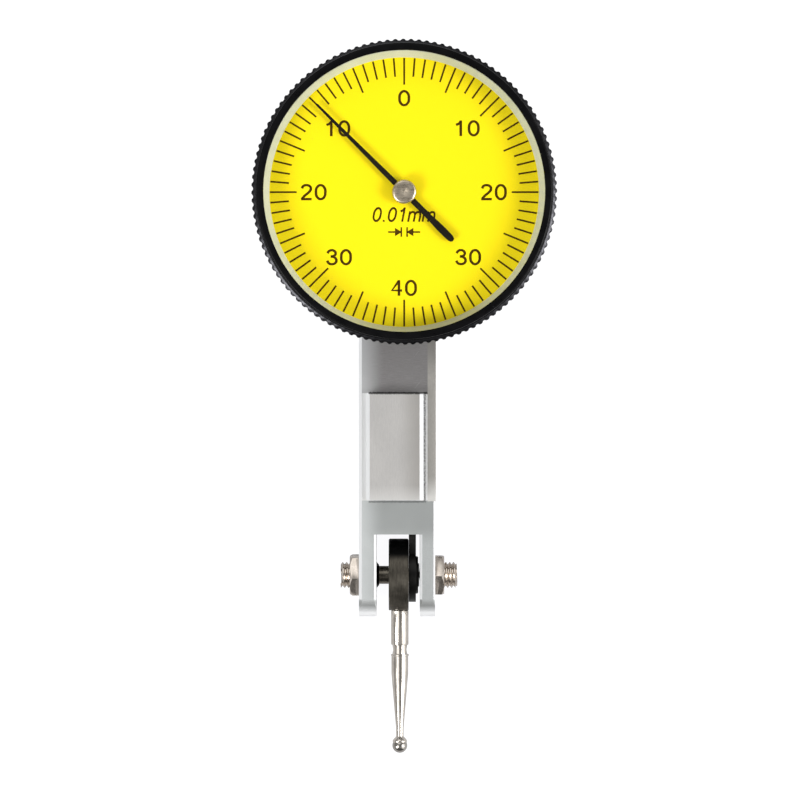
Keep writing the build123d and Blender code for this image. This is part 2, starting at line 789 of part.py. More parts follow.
def make_pivot_shaft():
    shaft = crosswise(shaft_diameter / 2, shaft_left, shaft_neck_start, pivot_y, pivot_z)
    shaft += crosswise(shaft_neck_diameter / 2, shaft_neck_start, shaft_right, pivot_y, pivot_z)
    reach = cone_depth + seat_gap
    mouth = reach * math.tan(math.radians(30))
    shaft -= crosswise_cone(mouth, 0.01, shaft_left, shaft_left + reach, pivot_y, pivot_z)
    shaft -= crosswise_cone(0.01, mouth, shaft_right - reach, shaft_right, pivot_y, pivot_z)
    return shaft


def make_pivot_screw(outer_end, ear_face, direction):
    # direction is +1 for the left screw, whose point looks towards +X.
    tip = ear_face + direction * (turning_gap + cone_depth - seat_gap)
    base = ear_face
    low, high = sorted((outer_end, base))
    screw = crosswise(pivot_screw_diameter / 2 - seat_gap, low, high, pivot_y, pivot_z)
    rim = screw.faces().filter_by(Axis.X).sort_by(Axis.X)
    outer_face = rim[0] if direction > 0 else rim[-1]
    screw = chamfer(outer_face.edges(), 0.3)
    mouth = (cone_depth - seat_gap + turning_gap) * math.tan(math.radians(30))
    low, high = sorted((base, tip))
    if direction > 0:
        screw += crosswise_cone(mouth, 0.02, low, high, pivot_y, pivot_z)
    else:
        screw += crosswise_cone(0.02, mouth, low, high, pivot_y, pivot_z)
    inner = outer_end + direction * screw_slot_depth
    low, high = sorted((outer_end - direction, inner))
    half = screw_slot_width / 2
    wide = pivot_screw_diameter
    return screw - block(low, high, pivot_y - wide, pivot_y + wide, pivot_z - half, pivot_z + half)


def make_pivot_nut(x0, x1, turn):
    # A hexagon with a corner near the dial side, turned from it by an angle, its corners turned off.
    outline = RegularPolygon(pivot_nut_width / 2, 6, major_radius=False, rotation=30 + turn)
    corner = pivot_nut_width / math.sqrt(3)
    nut = side_plate(outline, x0, x1)
    nut = Pos(0, pivot_y, pivot_z) * nut
    slope = 0.25
    thickness = x1 - x0
    limit = crosswise(corner, x0, x1, pivot_y, pivot_z)
    limit = chamfer(limit.faces().filter_by(Axis.X).edges(), length=slope, length2=2 * slope)
    if thickness < 2 * slope:
        limit = crosswise(corner, x0, x1, pivot_y, pivot_z)
    nut = nut & limit
    return nut - crosswise(pivot_screw_diameter / 2, x0 - 1, x1 + 1, pivot_y, pivot_z)


def make_left_pivot_washer():
    washer = crosswise_cone(
        pivot_washer_diameter / 2, pivot_washer_diameter / 2 - 0.4,
        slot_left, slot_left + pivot_washer_thickness, pivot_y, pivot_z,
    )
    return washer - crosswise(shaft_diameter / 2 + running_gap, slot_left - 1, slot_left + 1, pivot_y, pivot_z)


def make_clutch_washer():
    washer = crosswise(clutch_washer_diameter / 2, clutch_washer_left, nut_left, pivot_y, pivot_z)
    washer = chamfer(washer.faces().sort_by(Axis.X)[-1].edges(), 0.12)
    return washer - crosswise(shaft_neck_diameter / 2, clutch_washer_left - 1, nut_left + 1, pivot_y, pivot_z)


def make_clutch_nut():
    nut = crosswise(clutch_nut_diameter / 2, nut_left, nut_right, pivot_y, pivot_z)
    return nut - crosswise(shaft_neck_diameter / 2, nut_left - 1, nut_right + 1, pivot_y, pivot_z)


def make_swivel_disc():
    disc = crosswise(swivel_radius, swivel_left, swivel_right, pivot_y, pivot_z)
    disc = chamfer(disc.faces().filter_by(Axis.X).edges(), 0.15)
    disc -= crosswise(shaft_neck_diameter / 2 + running_gap, swivel_left - 1, swivel_right + 1, pivot_y, pivot_z)
    flat_y = pivot_y - stem_start()
    disc -= block(swivel_left - 1, swivel_right + 1, flat_y - 2, flat_y, pivot_z - 2, pivot_z + 2)
    return disc - lengthwise(stem_thread_diameter / 2 + seat_gap, flat_y - 1, flat_y + stem_thread_length + 0.2)


def stem_start():
    # Distance from the pivot to the flat that the stem's shoulder sits on.
    return math.sqrt(swivel_radius ** 2 - (shank_diameter / 2 + 0.15) ** 2)


def lengthwise(radius, y0, y1):
    return Pos(stem_x, (y0 + y1) / 2, pivot_z) * Rot(90, 0, 0) * Cylinder(radius, y1 - y0)


def make_contact_point():
    # Turned about its own length, heights counted from the pivot outwards.
    start = stem_start()
    shank_end = shank_length
    neck_end = shank_end + neck_length
    collar_end = neck_end + collar_length
    barrel_end = collar_end + barrel_length
    taper_end = barrel_end + taper_length
    outline = [
        (0, start - stem_thread_length), (stem_thread_diameter / 2, start - stem_thread_length),
        (stem_thread_diameter / 2, start), (shank_diameter / 2, start),
        (shank_diameter / 2, shank_end - 0.12), (neck_diameter / 2, shank_end),
        (neck_diameter / 2, neck_end), (collar_diameter / 2, neck_end + 0.08),
        (collar_diameter / 2, collar_end - 0.05), (barrel_diameter / 2, collar_end),
        (barrel_diameter / 2, barrel_end), (taper_end_diameter / 2, taper_end),
        (stem_end_diameter / 2, ball_reach - ball_seat_start),
        (ball_seat_diameter / 2, ball_reach - ball_seat_shoulder),
        (ball_seat_diameter / 2, ball_reach - ball_seat_lip), (0, ball_reach - ball_seat_lip),
    ]
    stem = turned(outline)
    hole_height = (shank_end + neck_end) / 2
    hole = Pos(0, 0, hole_height) * Rot(0, 90, 0) * Cylinder(cross_hole_diameter / 2, 2 * shank_diameter)
    stem -= hole
    stem -= Pos(0, 0, ball_reach) * Sphere(ball_diameter / 2)
    return Pos(stem_x, pivot_y, pivot_z) * Rot(90, 0, 0) * stem


def make_contact_ball():
    return Pos(stem_x, pivot_y - ball_reach, pivot_z) * Sphere(ball_diameter / 2)


def make_hairspring():
    # Half rings whose centres alternate, so that each runs into the next.
    shift = hairspring_pitch / 4
    inner = collet_diameter / 2 + 0.1 + shift
    spiral = Sketch()
    for k in range(hairspring_half_turns):
        side = 1 if k % 2 == 0 else -1
        radius = inner + 2 * shift * k
        ring = Circle(radius + hairspring_wire) - Circle(radius)
        half = Pos(0, side * radius) * Rectangle(4 * radius, 2 * radius)
        spiral += Pos(side * shift, 0) * (ring & half)
    return Pos(0, 0, hairspring_z) * extrude(spiral, hairspring_height)


def make_hairspring_stud():
    shift = hairspring_pitch / 4
    last = hairspring_half_turns - 1
    radius = collet_diameter / 2 + 0.1 + shift + 2 * shift * last
    side = 1 if last % 2 == 0 else -1
    middle = side * (shift + radius + hairspring_wire / 2)
    top = hairspring_z + hairspring_height + 0.2
    low, high = sorted((0, -side * 0.8))
    return block(middle - 0.4, middle + 0.4, low, high, drum_floor_z, top)


def make_hairspring_collet():
    collet = upright(collet_diameter / 2, hairspring_z, hairspring_z + hairspring_height)
    return collet - upright(center_arbor_diameter / 2, hairspring_z - 1, hairspring_z + 2)


screw_left_end = body_left - pivot_nut_thickness - left_screw_reach
screw_right_end = clevis_right + pivot_nut_thickness + right_screw_reach

nodes = {
    "main_body": make_main_body(),
    "side_cover": make_side_cover(),
    "side_cover_screws": make_cover_screws(),
    "left_pivot_screw": make_pivot_screw(screw_left_end, slot_left, 1),
    "right_pivot_screw": make_pivot_screw(screw_right_end, slot_right, -1),
    "left_pivot_nut": make_pivot_nut(body_left - pivot_nut_thickness, body_left, left_nut_turn),
    "right_pivot_nut": make_pivot_nut(clevis_right, clevis_right + pivot_nut_thickness, right_nut_turn),
    "left_pivot_washer": make_left_pivot_washer(),
    "movement_plate": make_movement_plate(),
    "movement_plate_screws": make_plate_screws(),
    "center_bridge": make_center_bridge(),
    "center_bridge_screws": make_bridge_screws(),
    "upper_center_jewel": make_jewel(
        jewel_diameter / 2 - seat_gap, center_arbor_diameter / 2 + 0.03, bridge_bottom, bridge_top
    ),
    "lower_center_jewel": make_jewel(
        lower_jewel_radius() - seat_gap, crown_pivot_diameter / 2 + 0.03, bracket_bottom, bracket_top
    ),
    "left_crown_jewel": make_left_crown_jewel(),
    "right_crown_jewel": make_right_crown_jewel(),
    "hairspring": make_hairspring(),
    "hairspring_stud": make_hairspring_stud(),
    "bezel_spring": make_bezel_spring(),
    "bezel_ring": make_bezel_ring(),
    "crystal": make_crystal(),
    "crystal_seal": make_crystal_seal(),
    "dial_ring": make_dial_ring(),
    "dial_face": make_dial_face(),
    "lever_arm": make_lever_arm(),
    "sector_gear": make_sector_gear(),
    "sector_rivets": make_sector_rivets(),
    "pivot_shaft": make_pivot_shaft(),
    "clutch_washer": make_clutch_washer(),
    "clutch_nut": make_clutch_nut(),
    "swivel_disc": make_swivel_disc(),
    "contact_point": make_contact_point(),
    "contact_ball": make_contact_ball(),
    "crown_arbor": make_crown_arbor(),
    "crown_gear": make_crown_gear(),
    "center_pinion": make_center_pinion(),
    "hairspring_collet": make_hairspring_collet(),
    "pointer_hand": make_pointer_hand(),
    "pointer_hub": make_pointer_hub(),
}

for name, shape in nodes.items():
    export_step(shape, f"parts/{name}.step")
    print(name, len(shape.solids()), round(shape.volume, 3))
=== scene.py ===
import math
import bpy
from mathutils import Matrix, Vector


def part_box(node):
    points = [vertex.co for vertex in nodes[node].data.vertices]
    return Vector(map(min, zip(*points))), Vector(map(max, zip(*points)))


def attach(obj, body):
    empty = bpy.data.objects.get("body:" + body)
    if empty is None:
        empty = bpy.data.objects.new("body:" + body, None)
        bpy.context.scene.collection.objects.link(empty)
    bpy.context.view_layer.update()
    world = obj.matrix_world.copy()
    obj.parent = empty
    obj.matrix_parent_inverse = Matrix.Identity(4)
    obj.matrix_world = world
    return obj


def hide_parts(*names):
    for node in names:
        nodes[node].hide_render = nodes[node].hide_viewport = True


# Dial test indicator, seen from straight above its dial. Sizes in the dictionaries are millimetres.

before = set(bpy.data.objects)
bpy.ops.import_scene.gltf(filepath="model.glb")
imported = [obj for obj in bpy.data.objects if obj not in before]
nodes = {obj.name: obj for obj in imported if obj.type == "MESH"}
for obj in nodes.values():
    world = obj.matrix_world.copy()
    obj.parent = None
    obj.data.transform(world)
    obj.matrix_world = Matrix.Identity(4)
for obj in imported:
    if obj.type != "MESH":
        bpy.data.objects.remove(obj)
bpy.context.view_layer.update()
print("frame loaded:", len(nodes), "nodes")


# ---- small helpers for modelling

def mm(*values):
    scaled = [value / 1000 for value in values]
    return scaled[0] if len(scaled) == 1 else tuple(scaled)


def leaveEdit():
    if bpy.context.mode != "OBJECT":
        bpy.ops.object.mode_set(mode="OBJECT")


def deselectAll():
    leaveEdit()
    bpy.ops.object.select_all(action="DESELECT")


def pickPiece(piece):
    deselectAll()
    piece.select_set(True)
    bpy.context.view_layer.objects.active = piece


def editAll():
    bpy.ops.object.mode_set(mode="EDIT")
    bpy.ops.mesh.select_all(action="SELECT")


def pickVertices(piece, test):
    # leaves the piece in edit mode with only the vertices that pass the test selected
    leaveEdit()
    mesh = piece.data
    for part in (mesh.vertices, mesh.edges, mesh.polygons):
        part.foreach_set("select", [False] * len(part))
    mesh.vertices.foreach_set("select", [bool(test(v.co)) for v in mesh.vertices])
    bpy.ops.object.mode_set(mode="EDIT")
    bpy.ops.mesh.select_mode(type="VERT")


def resizePicked(x, y, z=1.0):
    bpy.ops.transform.resize(value=(x, y, z), center_override=(0, 0, 0))


def movePicked(x, y, z):
    bpy.ops.transform.translate(value=mm(x, y, z))


def shift(*values):
    # how far an extrusion goes, in the form that the extruding calls take
    return {"TRANSFORM_OT_translate": {"value": mm(*values)}}


def applyModifier(piece, kind, **values):
    pickPiece(piece)
    modifier = piece.modifiers.new(kind.lower(), kind)
    for key, value in values.items():
        setattr(modifier, key, value)
    bpy.ops.object.modifier_apply(modifier=modifier.name)


def cutAway(piece, cutter, operation="DIFFERENCE"):
    applyModifier(piece, "BOOLEAN", object=cutter, operation=operation, solver="EXACT")
    bpy.data.objects.remove(cutter)


def smoothByAngle(piece, angle=30):
    pickPiece(piece)
    bpy.ops.object.shade_smooth_by_angle(angle=math.radians(angle))


def applyPlace():
    bpy.ops.object.transform_apply(location=True, rotation=True, scale=True)


def placePiece(piece, turn=(0, 0, 0), move=(0, 0, 0)):
    pickPiece(piece)
    piece.rotation_euler = [math.radians(a) for a in turn]
    piece.location = mm(*move)
    applyPlace()


def closeAndTidy(piece):
    pickPiece(piece)
    editAll()
    bpy.ops.mesh.remove_doubles(threshold=1e-7)
    bpy.ops.mesh.normals_make_consistent(inside=False)
    leaveEdit()


def startPlane(name):
    deselectAll()
    bpy.ops.mesh.primitive_plane_add(size=1, location=(0, 0, 0))
    bpy.context.object.name = name
    editAll()
    return bpy.context.object


def turnRings(name, profile, segments, ends="caps"):
    # a circle extruded ring by ring along the profile's (radius, height) corners
    radius, height = profile[0]
    deselectAll()
    bpy.ops.mesh.primitive_circle_add(vertices=segments, radius=mm(radius), location=(0, 0, mm(height)))
    piece = bpy.context.object
    piece.name = name
    bpy.ops.object.transform_apply(location=True)
    editAll()
    if ends == "caps":
        bpy.ops.mesh.edge_face_add()
        bpy.ops.mesh.select_all(action="SELECT")
    for nextRadius, nextHeight in profile[1:] + ([profile[0]] if ends == "loop" else []):
        bpy.ops.mesh.extrude_edges_move(**shift(0, 0, nextHeight - height))
        resizePicked(nextRadius / radius, nextRadius / radius)
        radius, height = nextRadius, nextHeight
    if ends == "caps":
        bpy.ops.mesh.edge_face_add()
    leaveEdit()
    closeAndTidy(piece)
    return piece


def roundEdge(radius, top, edge):
    arc = [math.radians(a) for a in (0, 22.5, 45, 67.5, 90)]
    return [(radius - edge * (1 - math.cos(a)), top - edge * (1 - math.sin(a))) for a in arc]


def joinPieces(pieces, name):
    pickPiece(pieces[0])
    for piece in pieces:
        piece.select_set(True)
    if len(pieces) > 1:
        bpy.ops.object.join()
    pieces[0].name = name
    return pieces[0]


def wear(piece, finishName):
    piece.data.materials.clear()
    piece.data.materials.append(finishes[finishName])


def finishPiece(piece, name, body, finishName, slot, *replaced):
    piece.name = name
    piece.data.name = name
    wear(piece, finishName)
    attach(piece, body)
    if replaced:
        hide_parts(*replaced)


# ---- small helpers for materials

def setInputs(tree, node, inputs):
    for key, value in inputs.items():
        if isinstance(value, bpy.types.NodeSocket):
            tree.links.new(value, node.inputs[key])
        else:
            node.inputs[key].default_value = value
    return node


def addNode(tree, kind, inputs=None, **values):
    node = tree.nodes.new("ShaderNode" + kind)
    for key, value in values.items():
        setattr(node, key, value)
    return setInputs(tree, node, inputs or {})


def mathNode(tree, operation, first, second=0.0, third=0.0, clamp=False):
    node = addNode(tree, "Math", {0: first, 1: second, 2: third}, operation=operation, use_clamp=clamp)
    return node.outputs[0]


def vectorNode(tree, operation, first, second=(0, 0, 0), output="Vector"):
    return addNode(tree, "VectorMath", {0: first, 1: second}, operation=operation).outputs[output]


def product(tree, first, *factors):
    for factor in factors:
        first = mathNode(tree, "MULTIPLY", first, factor)
    return first


def below(tree, value, limit):
    return mathNode(tree, "LESS_THAN", value, limit)


def above(tree, value, limit):
    return mathNode(tree, "GREATER_THAN", value, limit)


def distanceFrom(tree, value, centre):
    return mathNode(tree, "ABSOLUTE", mathNode(tree, "SUBTRACT", value, centre))


def near(tree, value, centre, reach):
    return below(tree, distanceFrom(tree, value, centre), reach)


def larger(tree, first, second):
    return mathNode(tree, "MAXIMUM", first, second)


def inverse(tree, value):
    return mathNode(tree, "SUBTRACT", 1.0, value)


def ramp(tree, value, fromMin, fromMax, toMin=0.0, toMax=1.0, kind="SMOOTHSTEP"):
    node = addNode(tree, "MapRange", {"Value": value, "From Min": fromMin, "From Max": fromMax,
                                      "To Min": toMin, "To Max": toMax}, interpolation_type=kind)
    return node.outputs["Result"]


def mixValue(tree, amount, low, high):
    return ramp(tree, amount, 0.0, 1.0, low, high, "LINEAR")


def mixColour(tree, amount, first, second):
    pair = [tone if isinstance(tone, bpy.types.NodeSocket) else (*tone, 1.0) for tone in (first, second)]
    return addNode(tree, "Mix", {0: amount, 6: pair[0], 7: pair[1]}, data_type="RGBA").outputs[2]


def paintOver(tree, colour, *layers):
    for amount, tone in layers:
        colour = mixColour(tree, amount, colour, tone)
    return colour


def splitVector(tree, vector):
    return addNode(tree, "SeparateXYZ", {"Vector": vector}).outputs


def splitNormal(tree):
    return splitVector(tree, addNode(tree, "TexCoord").outputs["Normal"])


def bumpFrom(tree, height, strength, depth):
    inputs = {"Height": height, "Strength": strength, "Distance": mm(depth)}
    return addNode(tree, "Bump", inputs).outputs["Normal"]


finishes = {}


def startMaterial(name):
    material = bpy.data.materials.new(name)
    finishes[name] = material
    material.use_nodes = True
    tree = material.node_tree
    place = addNode(tree, "TexCoord").outputs["Object"]
    inMm = addNode(tree, "Mapping", {"Vector": place, "Scale": (1000, 1000, 1000)}).outputs[0]
    return tree, tree.nodes["Principled BSDF"], inMm


# ---- node groups: effects that several finishes share

def newGroup(name, outputs, **inputs):
    # an input is a number where its default is one, and else a vector
    group = bpy.data.node_groups.new(name, "ShaderNodeTree")
    for label, value in inputs.items():
        kind = "Float" if isinstance(value, float) else "Vector"
        socket = group.interface.new_socket(name=label, in_out="INPUT", socket_type="NodeSocket" + kind)
        if value is not None:
            socket.default_value = value
    for label in outputs:
        group.interface.new_socket(name=label, in_out="OUTPUT", socket_type="NodeSocketFloat")
    return group, group.nodes.new("NodeGroupInput").outputs, group.nodes.new("NodeGroupOutput")


def noise(tree, vector, scale, detail, roughness=0.5):
    inputs = {"Vector": vector, "Scale": scale, "Detail": detail, "Roughness": roughness}
    return addNode(tree, "TexNoise", inputs).outputs["Fac"]


def makeGrainGroup():
    # fine lines left by milling or grinding, long along the axis that Stretch leaves small
    group, given, end = newGroup("machiningGrain", ["Streaks", "Height"], Vector=None, Stretch=(1, 30, 30),
                                 Scale=1.0, Contrast=1.0)
    drawn = vectorNode(group, "MULTIPLY", given["Vector"], given["Stretch"])
    coarse = noise(group, drawn, given["Scale"], 5.0, 0.62)
    fine = noise(group, drawn, product(group, given["Scale"], 3.7), 3.0, 0.7)
    both = mathNode(group, "MULTIPLY_ADD", fine, 0.45, product(group, coarse, 0.55))
    spread = product(group, mathNode(group, "SUBTRACT", both, 0.5), given["Contrast"])
    streaks = mathNode(group, "MULTIPLY_ADD", spread, 4.0, 0.5, clamp=True)
    setInputs(group, end, {"Streaks": streaks, "Height": both})
    return group


def makePatchGroup():
    # slow changes of tone over a surface
    group, given, end = newGroup("softPatches", ["Value"], Vector=None, Scale=0.3, Low=0.0, High=1.0)
    slow = noise(group, given["Vector"], given["Scale"], 3.0)
    setInputs(group, end, {"Value": ramp(group, slow, 0.32, 0.68, given["Low"], given["High"], "LINEAR")})
    return group


def makeScratchGroup():
    # sparse hair scratches that run in two directions
    group, given, end = newGroup("hairScratches", ["Mask"], Vector=None, Scale=1.0, Amount=0.3)
    limit = mathNode(group, "MULTIPLY_ADD", given["Amount"], -0.2, 0.78)
    masks = []
    for angle in (0.5, -0.9):
        turned = addNode(group, "VectorRotate", {"Vector": given["Vector"], "Angle": angle},
                         rotation_type="Z_AXIS").outputs[0]
        drawn = vectorNode(group, "MULTIPLY", turned, (0.35, 14.0, 3.0))
        over = mathNode(group, "SUBTRACT", noise(group, drawn, given["Scale"], 1.0), limit)
        masks.append(mathNode(group, "MULTIPLY", over, 18.0, clamp=True))
    setInputs(group, end, {"Mask": larger(group, *masks)})
    return group


def makeSpeckGroup():
    # tiny scattered specks: dust, pits and lost paint
    group, given, end = newGroup("tinySpecks", ["Mask"], Vector=None, Scale=3.0, Size=0.12)
    cells = addNode(group, "TexVoronoi", {"Vector": given["Vector"], "Scale": given["Scale"]}).outputs
    shade = addNode(group, "SeparateColor", {"Color": cells["Color"]}).outputs["Red"]
    inside = below(group, cells["Distance"], given["Size"])
    setInputs(group, end, {"Mask": product(group, above(group, shade, 0.72), inside)})
    return group


groups = {"grain": makeGrainGroup(), "patches": makePatchGroup(), "scratches": makeScratchGroup(),
          "specks": makeSpeckGroup()}


def useGroup(tree, name, vector, **inputs):
    return addNode(tree, "Group", {"Vector": vector, **inputs}, node_tree=groups[name]).outputs


# ---- finishes

# Shared by all looks that say nothing else. gloss is the lowest and highest roughness, bump a strength and a
# depth, specks a size, scale and colour, scratches an amount, scale and colour, rim as in makeFinish.
plainLook = dict(metallic=1.0, grainScale=1.0, contrast=0.8, patchScale=0.6, coat=0.0, specular=0.5,
                 scratches=None, specks=None, rim=None)

finishLooks = {
    "blackEnamel": dict(tones=((0.001, 0.001, 0.0012), (0.004, 0.004, 0.0045)), metallic=0.0,
        gloss=(0.24, 0.38), stretch=(4, 4, 4), contrast=0.7, patchScale=0.5,
        bump=(0.05, 0.01), specular=0.09, specks=(0.05, 3.0, (0.07, 0.07, 0.08)),
        rim=((0.034, 0.034, 0.037), 0.888, 0.07, 20.05)),
    "polishedNickel": dict(tones=((0.50, 0.46, 0.41), (0.80, 0.75, 0.69)), gloss=(0.10, 0.22),
        stretch=(9, 0.6, 9), grainScale=1.2, bump=(0.10, 0.004),
        scratches=(0.25, 1.2, (0.42, 0.41, 0.40))),
    "screwNickel": dict(tones=((0.52, 0.46, 0.40), (0.84, 0.77, 0.70)), gloss=(0.12, 0.24),
        stretch=(6, 6, 6), patchScale=0.8, bump=(0.08, 0.004),
        specks=(0.09, 3.5, (0.30, 0.28, 0.26))),
    "blackOxide": dict(tones=((0.006, 0.006, 0.006), (0.022, 0.021, 0.020)), metallic=0.7,
        gloss=(0.30, 0.48), stretch=(14, 1, 1), grainScale=0.9, contrast=1.0,
        patchScale=0.7, bump=(0.10, 0.006), specks=(0.07, 4.0, (0.12, 0.11, 0.10))),
    "darkShaft": dict(tones=((0.06, 0.052, 0.042), (0.22, 0.20, 0.165)), gloss=(0.14, 0.30),
        stretch=(1, 9, 9), grainScale=0.8, contrast=1.0, patchScale=0.7, bump=(0.08, 0.004)),
    "darkTurned": dict(tones=((0.035, 0.032, 0.028), (0.15, 0.135, 0.115)), metallic=0.9,
        gloss=(0.30, 0.46), stretch=(14, 0.8, 0.8), grainScale=0.8, contrast=1.4,
        patchScale=0.5, bump=(0.14, 0.008), specks=(0.06, 3.0, (0.30, 0.27, 0.22))),
    "hardBall": dict(tones=((0.31, 0.29, 0.265), (0.54, 0.515, 0.48)), gloss=(0.08, 0.18),
        stretch=(5, 5, 5), contrast=0.6, patchScale=1.0, bump=(0.05, 0.003)),
    "brassBright": dict(tones=((0.55, 0.36, 0.11), (0.83, 0.62, 0.25)), gloss=(0.22, 0.38),
        stretch=(8, 1, 8), contrast=0.9, patchScale=0.5, bump=(0.08, 0.005)),
    "rubyRed": dict(tones=((0.20, 0.004, 0.02), (0.42, 0.01, 0.05)), metallic=0.0, gloss=(0.05, 0.12),
        stretch=(3, 3, 3), grainScale=0.8, contrast=0.6, patchScale=0.8, bump=(0.02, 0.002),
        coat=0.5),
    "springBlue": dict(tones=((0.10, 0.11, 0.16), (0.30, 0.31, 0.36)), gloss=(0.20, 0.34),
        stretch=(2, 2, 10), patchScale=0.4, bump=(0.05, 0.003)),
    "sealRubber": dict(tones=((0.012, 0.012, 0.012), (0.028, 0.027, 0.026)), metallic=0.0,
        gloss=(0.55, 0.75), stretch=(3, 3, 3), bump=(0.10, 0.006)),
    "blackHand": dict(tones=((0.004, 0.003, 0.002), (0.013, 0.010, 0.005)), metallic=0.0,
        gloss=(0.35, 0.50), stretch=(4, 4, 4), bump=(0.05, 0.003), specular=0.12,
        specks=(0.05, 3.0, (0.06, 0.05, 0.04))),
    "dialInk": dict(tones=((0.040, 0.018, 0.0004), (0.086, 0.046, 0.001)), metallic=0.0,
        gloss=(0.55, 0.70), specular=0.05, stretch=(3, 3, 3), grainScale=2.0, contrast=1.0,
        patchScale=0.8, bump=(0.04, 0.002)),
    "paleRing": dict(tones=((0.56, 0.60, 0.50), (0.68, 0.72, 0.62)), metallic=0.0, gloss=(0.32, 0.46),
        stretch=(1, 1, 6), grainScale=0.8, contrast=0.7, patchScale=0.25, bump=(0.04, 0.004)),
    "brushedHub": dict(tones=((0.48, 0.41, 0.31), (0.84, 0.74, 0.60)), gloss=(0.22, 0.38),
        stretch=(1.2, 9, 9), contrast=1.3, patchScale=0.9, bump=(0.12, 0.006),
        scratches=(0.5, 1.5, (0.20, 0.18, 0.16))),
}


def makeFinish(name, look):
    # one finish: grain, soft patches, hair scratches and specks over a dark and a light tone
    tree, shader, inMm = startMaterial(name)
    grain = useGroup(tree, "grain", inMm, Stretch=look["stretch"], Scale=look["grainScale"],
                     Contrast=look["contrast"])
    patches = useGroup(tree, "patches", inMm, Scale=look["patchScale"], Low=0.0, High=0.5)
    tone = mathNode(tree, "MULTIPLY_ADD", grain["Streaks"], 0.5, patches["Value"], clamp=True)
    colour = mixColour(tree, tone, *look["tones"])
    metallic = look["metallic"]
    if look["scratches"]:
        amount, scale, scratchTone = look["scratches"]
        marks = useGroup(tree, "scratches", inMm, Scale=scale, Amount=amount)
        colour = mixColour(tree, marks["Mask"], colour, scratchTone)
    if look["specks"]:
        size, scale, speckTone = look["specks"]
        spots = useGroup(tree, "specks", inMm, Scale=scale, Size=size)
        colour = mixColour(tree, spots["Mask"], colour, speckTone)
    if look["rim"]:
        # the sloping rim below the given height is rubbed to a glossy grey
        rimTone, slope, spread, top = look["rim"]
        onSlope = mathNode(tree, "COMPARE", splitNormal(tree)["Z"], slope, spread)
        metallic = product(tree, onSlope, below(tree, splitVector(tree, inMm)["Z"], top))
        colour = mixColour(tree, metallic, colour, rimTone)
    setInputs(tree, shader, {
        "Base Color": colour, "Metallic": metallic, "Roughness": mixValue(tree, tone, *look["gloss"]),
        "Coat Weight": look["coat"], "Coat Roughness": 0.03, "Specular IOR Level": look["specular"],
        "Normal": bumpFrom(tree, grain["Height"], *look["bump"])})


for name, look in finishLooks.items():
    makeFinish(name, {**plainLook, **look})

# tones in pairs go from dark to light, and fades run from one place to another between two amounts
bodyLook = {
    "flat": ((0.25, 0.24, 0.24), (0.36, 0.35, 0.35)), "flatLeftHighlight": (0.72, 0.73, 0.74),
    "side": ((0.66, 0.66, 0.66), (0.82, 0.82, 0.82)), "leftStripHighlight": (0.97, 0.98, 0.98),
    "rail": ((0.62, 0.605, 0.59), (0.77, 0.755, 0.735)), "railRightShade": (0.46, 0.44, 0.415),
    "clevis": ((0.53, 0.555, 0.555), (0.68, 0.705, 0.70)), "clevisTop": (0.46, 0.48, 0.475),
    "clevisLeftHighlight": (0.84, 0.87, 0.87), "tip": (0.30, 0.305, 0.30), "stain": (0.30, 0.30, 0.31),
    "scratch": (0.95, 0.95, 0.95), "lighterEnd": (0.95, 0.94, 0.92), "polished": (0.97, 0.97, 0.97),
    "line": (0.03, 0.03, 0.03), "edge": ((0.8556, 0.8649, 0.8742), (0.92, 0.93, 0.94)),
    "grains": (((0.4, 7, 7), 0.8), ((8, 0.5, 8), 0.7), ((3, 3, 3), 0.7)), "grainScale": 2.2,
    "railHeight": 12.7, "railStart": -26.35, "clevisStart": -40.55, "stripEnd": -4.4, "edgeTop": 14.6,
    "tipY": -54.25, "tipFrom": -53.65, "topTilt": 0.2, "highlightMetallic": 0.5,
    "leftHighlightFade": (-6.0, -2.5, 0.8, 0.0), "rightShadeFade": (-1.2, 2.4, 0.0, 0.8), "clevisHighlightShare": 0.9,
    "topFade": (-46.8, -43.8, 0.0, 0.9), "lighterEndFade": (-38.53, -40.43, 0.0, 0.55),
    "tipFade": (0.75, 0.15, 0.0, 0.6), "endHighlightFade": (-54.40, -55.40, 0.0, 1.0),
    "wander": 0.22, "upperShadowY": -26.23, "upperShadowHalf": 0.15, "lowerShadowY": -40.60, "lowerShadowHalf": 0.13,
    "lowerShadowShare": 0.55, "shadowStartX": -4.7, "shadowEndX": 2.9, "seamX": 3.1, "seamHighlightWidth": 0.26,
    "seamShadowOff": 0.37, "seamShadowHalf": 0.11, "shadowLineShare": 0.88, "gloss": (0.36, 0.48), "bump": (0.10, 0.006),
}


def edgeHighlightAmount(tree):
    # how far a face is a bevelled or rounded edge, where a painted highlight makes it lighter than the faces
    # beside it
    slant = splitNormal(tree)
    tilts = [mathNode(tree, "ABSOLUTE", slant[axis]) for axis in "XYZ"]
    pairs = [product(tree, tilts[a], tilts[b]) for a, b in ((0, 1), (0, 2), (1, 2))]
    return ramp(tree, larger(tree, larger(tree, pairs[0], pairs[1]), pairs[2]), 0.30, 0.40)


